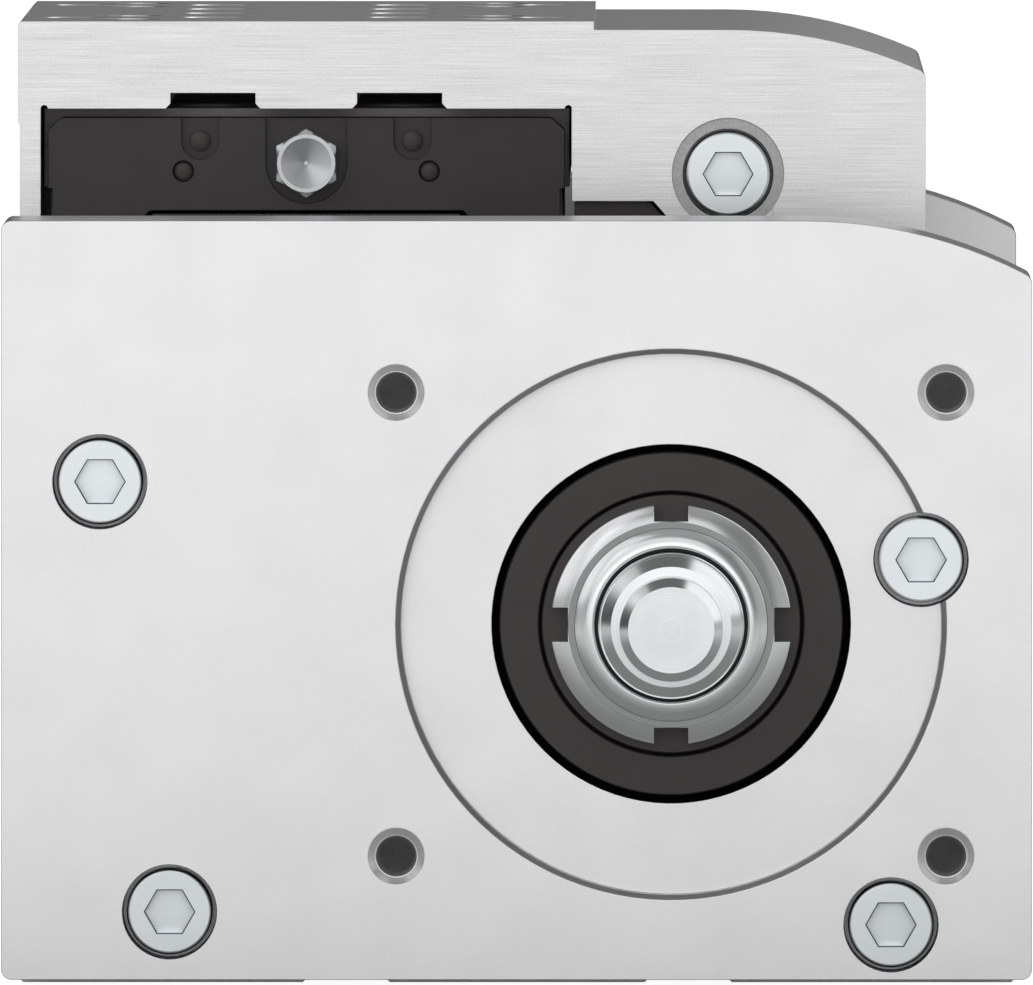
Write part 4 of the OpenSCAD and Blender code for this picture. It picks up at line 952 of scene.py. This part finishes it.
def makeFloor(s):
    half = s["floorSize"] / 2
    floorMesh = bpy.data.meshes.new("floor")
    level = cadBox[0].z - 0.05 * mm
    floorMesh.from_pydata([(-half, -half, level), (half, -half, level), (half, half, level), (-half, half, level)],
                          [], [(0, 1, 2, 3)])
    floor = addObject("floor", floorMesh)

    def palePaper(kit):
        # Plain and pale all over to the eye; in the parts' reflections its glow is weaker near them, a painted shade
        # round them, and brightens away from them.
        x, y, z = kit.split(kit.coords())
        away = kit.ramp((x * x + y * y).call("SQRT"), *s["floorEdge"])
        glow = away * (s["farGlow"] - s["floorGlow"]) + s["floorGlow"]
        seen = kit.add("ShaderNodeLightPath", {}, {}, "Is Camera Ray")
        light = kit.blend(seen * s["floorLight"] + glow, (0, 0, 0, 1), (1, 1, 1, 1))
        return {"Base Color": [s["floorTone"]] * 3 + [1], "Roughness": 0.9, "Emission Color": light,
                "Emission Strength": 1.0, "Specular IOR Level": 0.1}

    floorMesh.materials.append(newFinish("palePaper", palePaper))


def makeRoom(s):
    # The room is softly lit overhead and at the sides and dim behind, with one tall window on the right
    # that shows in turned edges, and a dark wall on the left and a dark band overhead. Seen straight on,
    # it is plain white.
    world = bpy.data.worlds.new("studio")
    bpy.context.scene.world = world
    world.use_nodes = True
    world.node_tree.nodes.clear()
    kit = Kit(world.node_tree)
    x, y, z = kit.split(kit.add("ShaderNodeTexCoord", {}, {}, "Generated"))

    def step(value, fade):
        low, high = fades[fade]
        return kit.add("ShaderNodeMapRange", {"interpolation_type": "SMOOTHSTEP"}, {0: value, 1: low, 2: high})

    edgeOn = 1 - step(y.call("ABSOLUTE"), "broadside")
    front = step(y * -1, "front") * s["front"]
    overhead = step(z, "overhead") * s["overhead"]
    sides = step(x.call("ABSOLUTE"), "side") * s["side"]
    behind = step(y, "behind")
    base = behind * s["low"] + (1 - behind) * s["dim"]
    window = step(x * windowAim[0] + z * windowAim[1], "window") * edgeOn * s["strip"]
    leftWall = step(x * -1, "left") * (1 - step(z, "leftTop")) * edgeOn * s["left"]
    topBand = step(z, "top") * (1 - step(y.call("ABSOLUTE"), "topWidth")) * s["top"]
    light = front.call("MAXIMUM", overhead).call("MAXIMUM", sides).call("MAXIMUM", base)
    light = (light * (1 - leftWall) * (1 - topBand)).call("MAXIMUM", window)
    soft = kit.add("ShaderNodeBackground", {}, {"Color": (1, 1, 1, 1), "Strength": light})
    white = kit.add("ShaderNodeBackground", {}, {"Color": (1, 1, 1, 1), "Strength": 1.0})
    seen = kit.add("ShaderNodeLightPath", {}, {}, "Is Camera Ray")
    kit.add("ShaderNodeOutputWorld", {}, {0: kit.add("ShaderNodeMixShader", {}, {0: seen, 1: soft, 2: white})})


def makeSoftbox(name, s):
    light = bpy.data.lights.new(name, "AREA")
    light.size, light.energy = s["size"], s["power"]
    lamp = addObject(name, light)
    lamp.location = s["place"]
    lamp.rotation_euler = (lampAim - lamp.location).to_track_quat("-Z", "Y").to_euler()
    lamp.visible_camera = False


bpy.context.scene.view_settings.view_transform = "Standard"
makeFloor(studio)
makeRoom(studio)
for boxName, box in softboxes.items():
    makeSoftbox(boxName, box)
print("stage: studio")
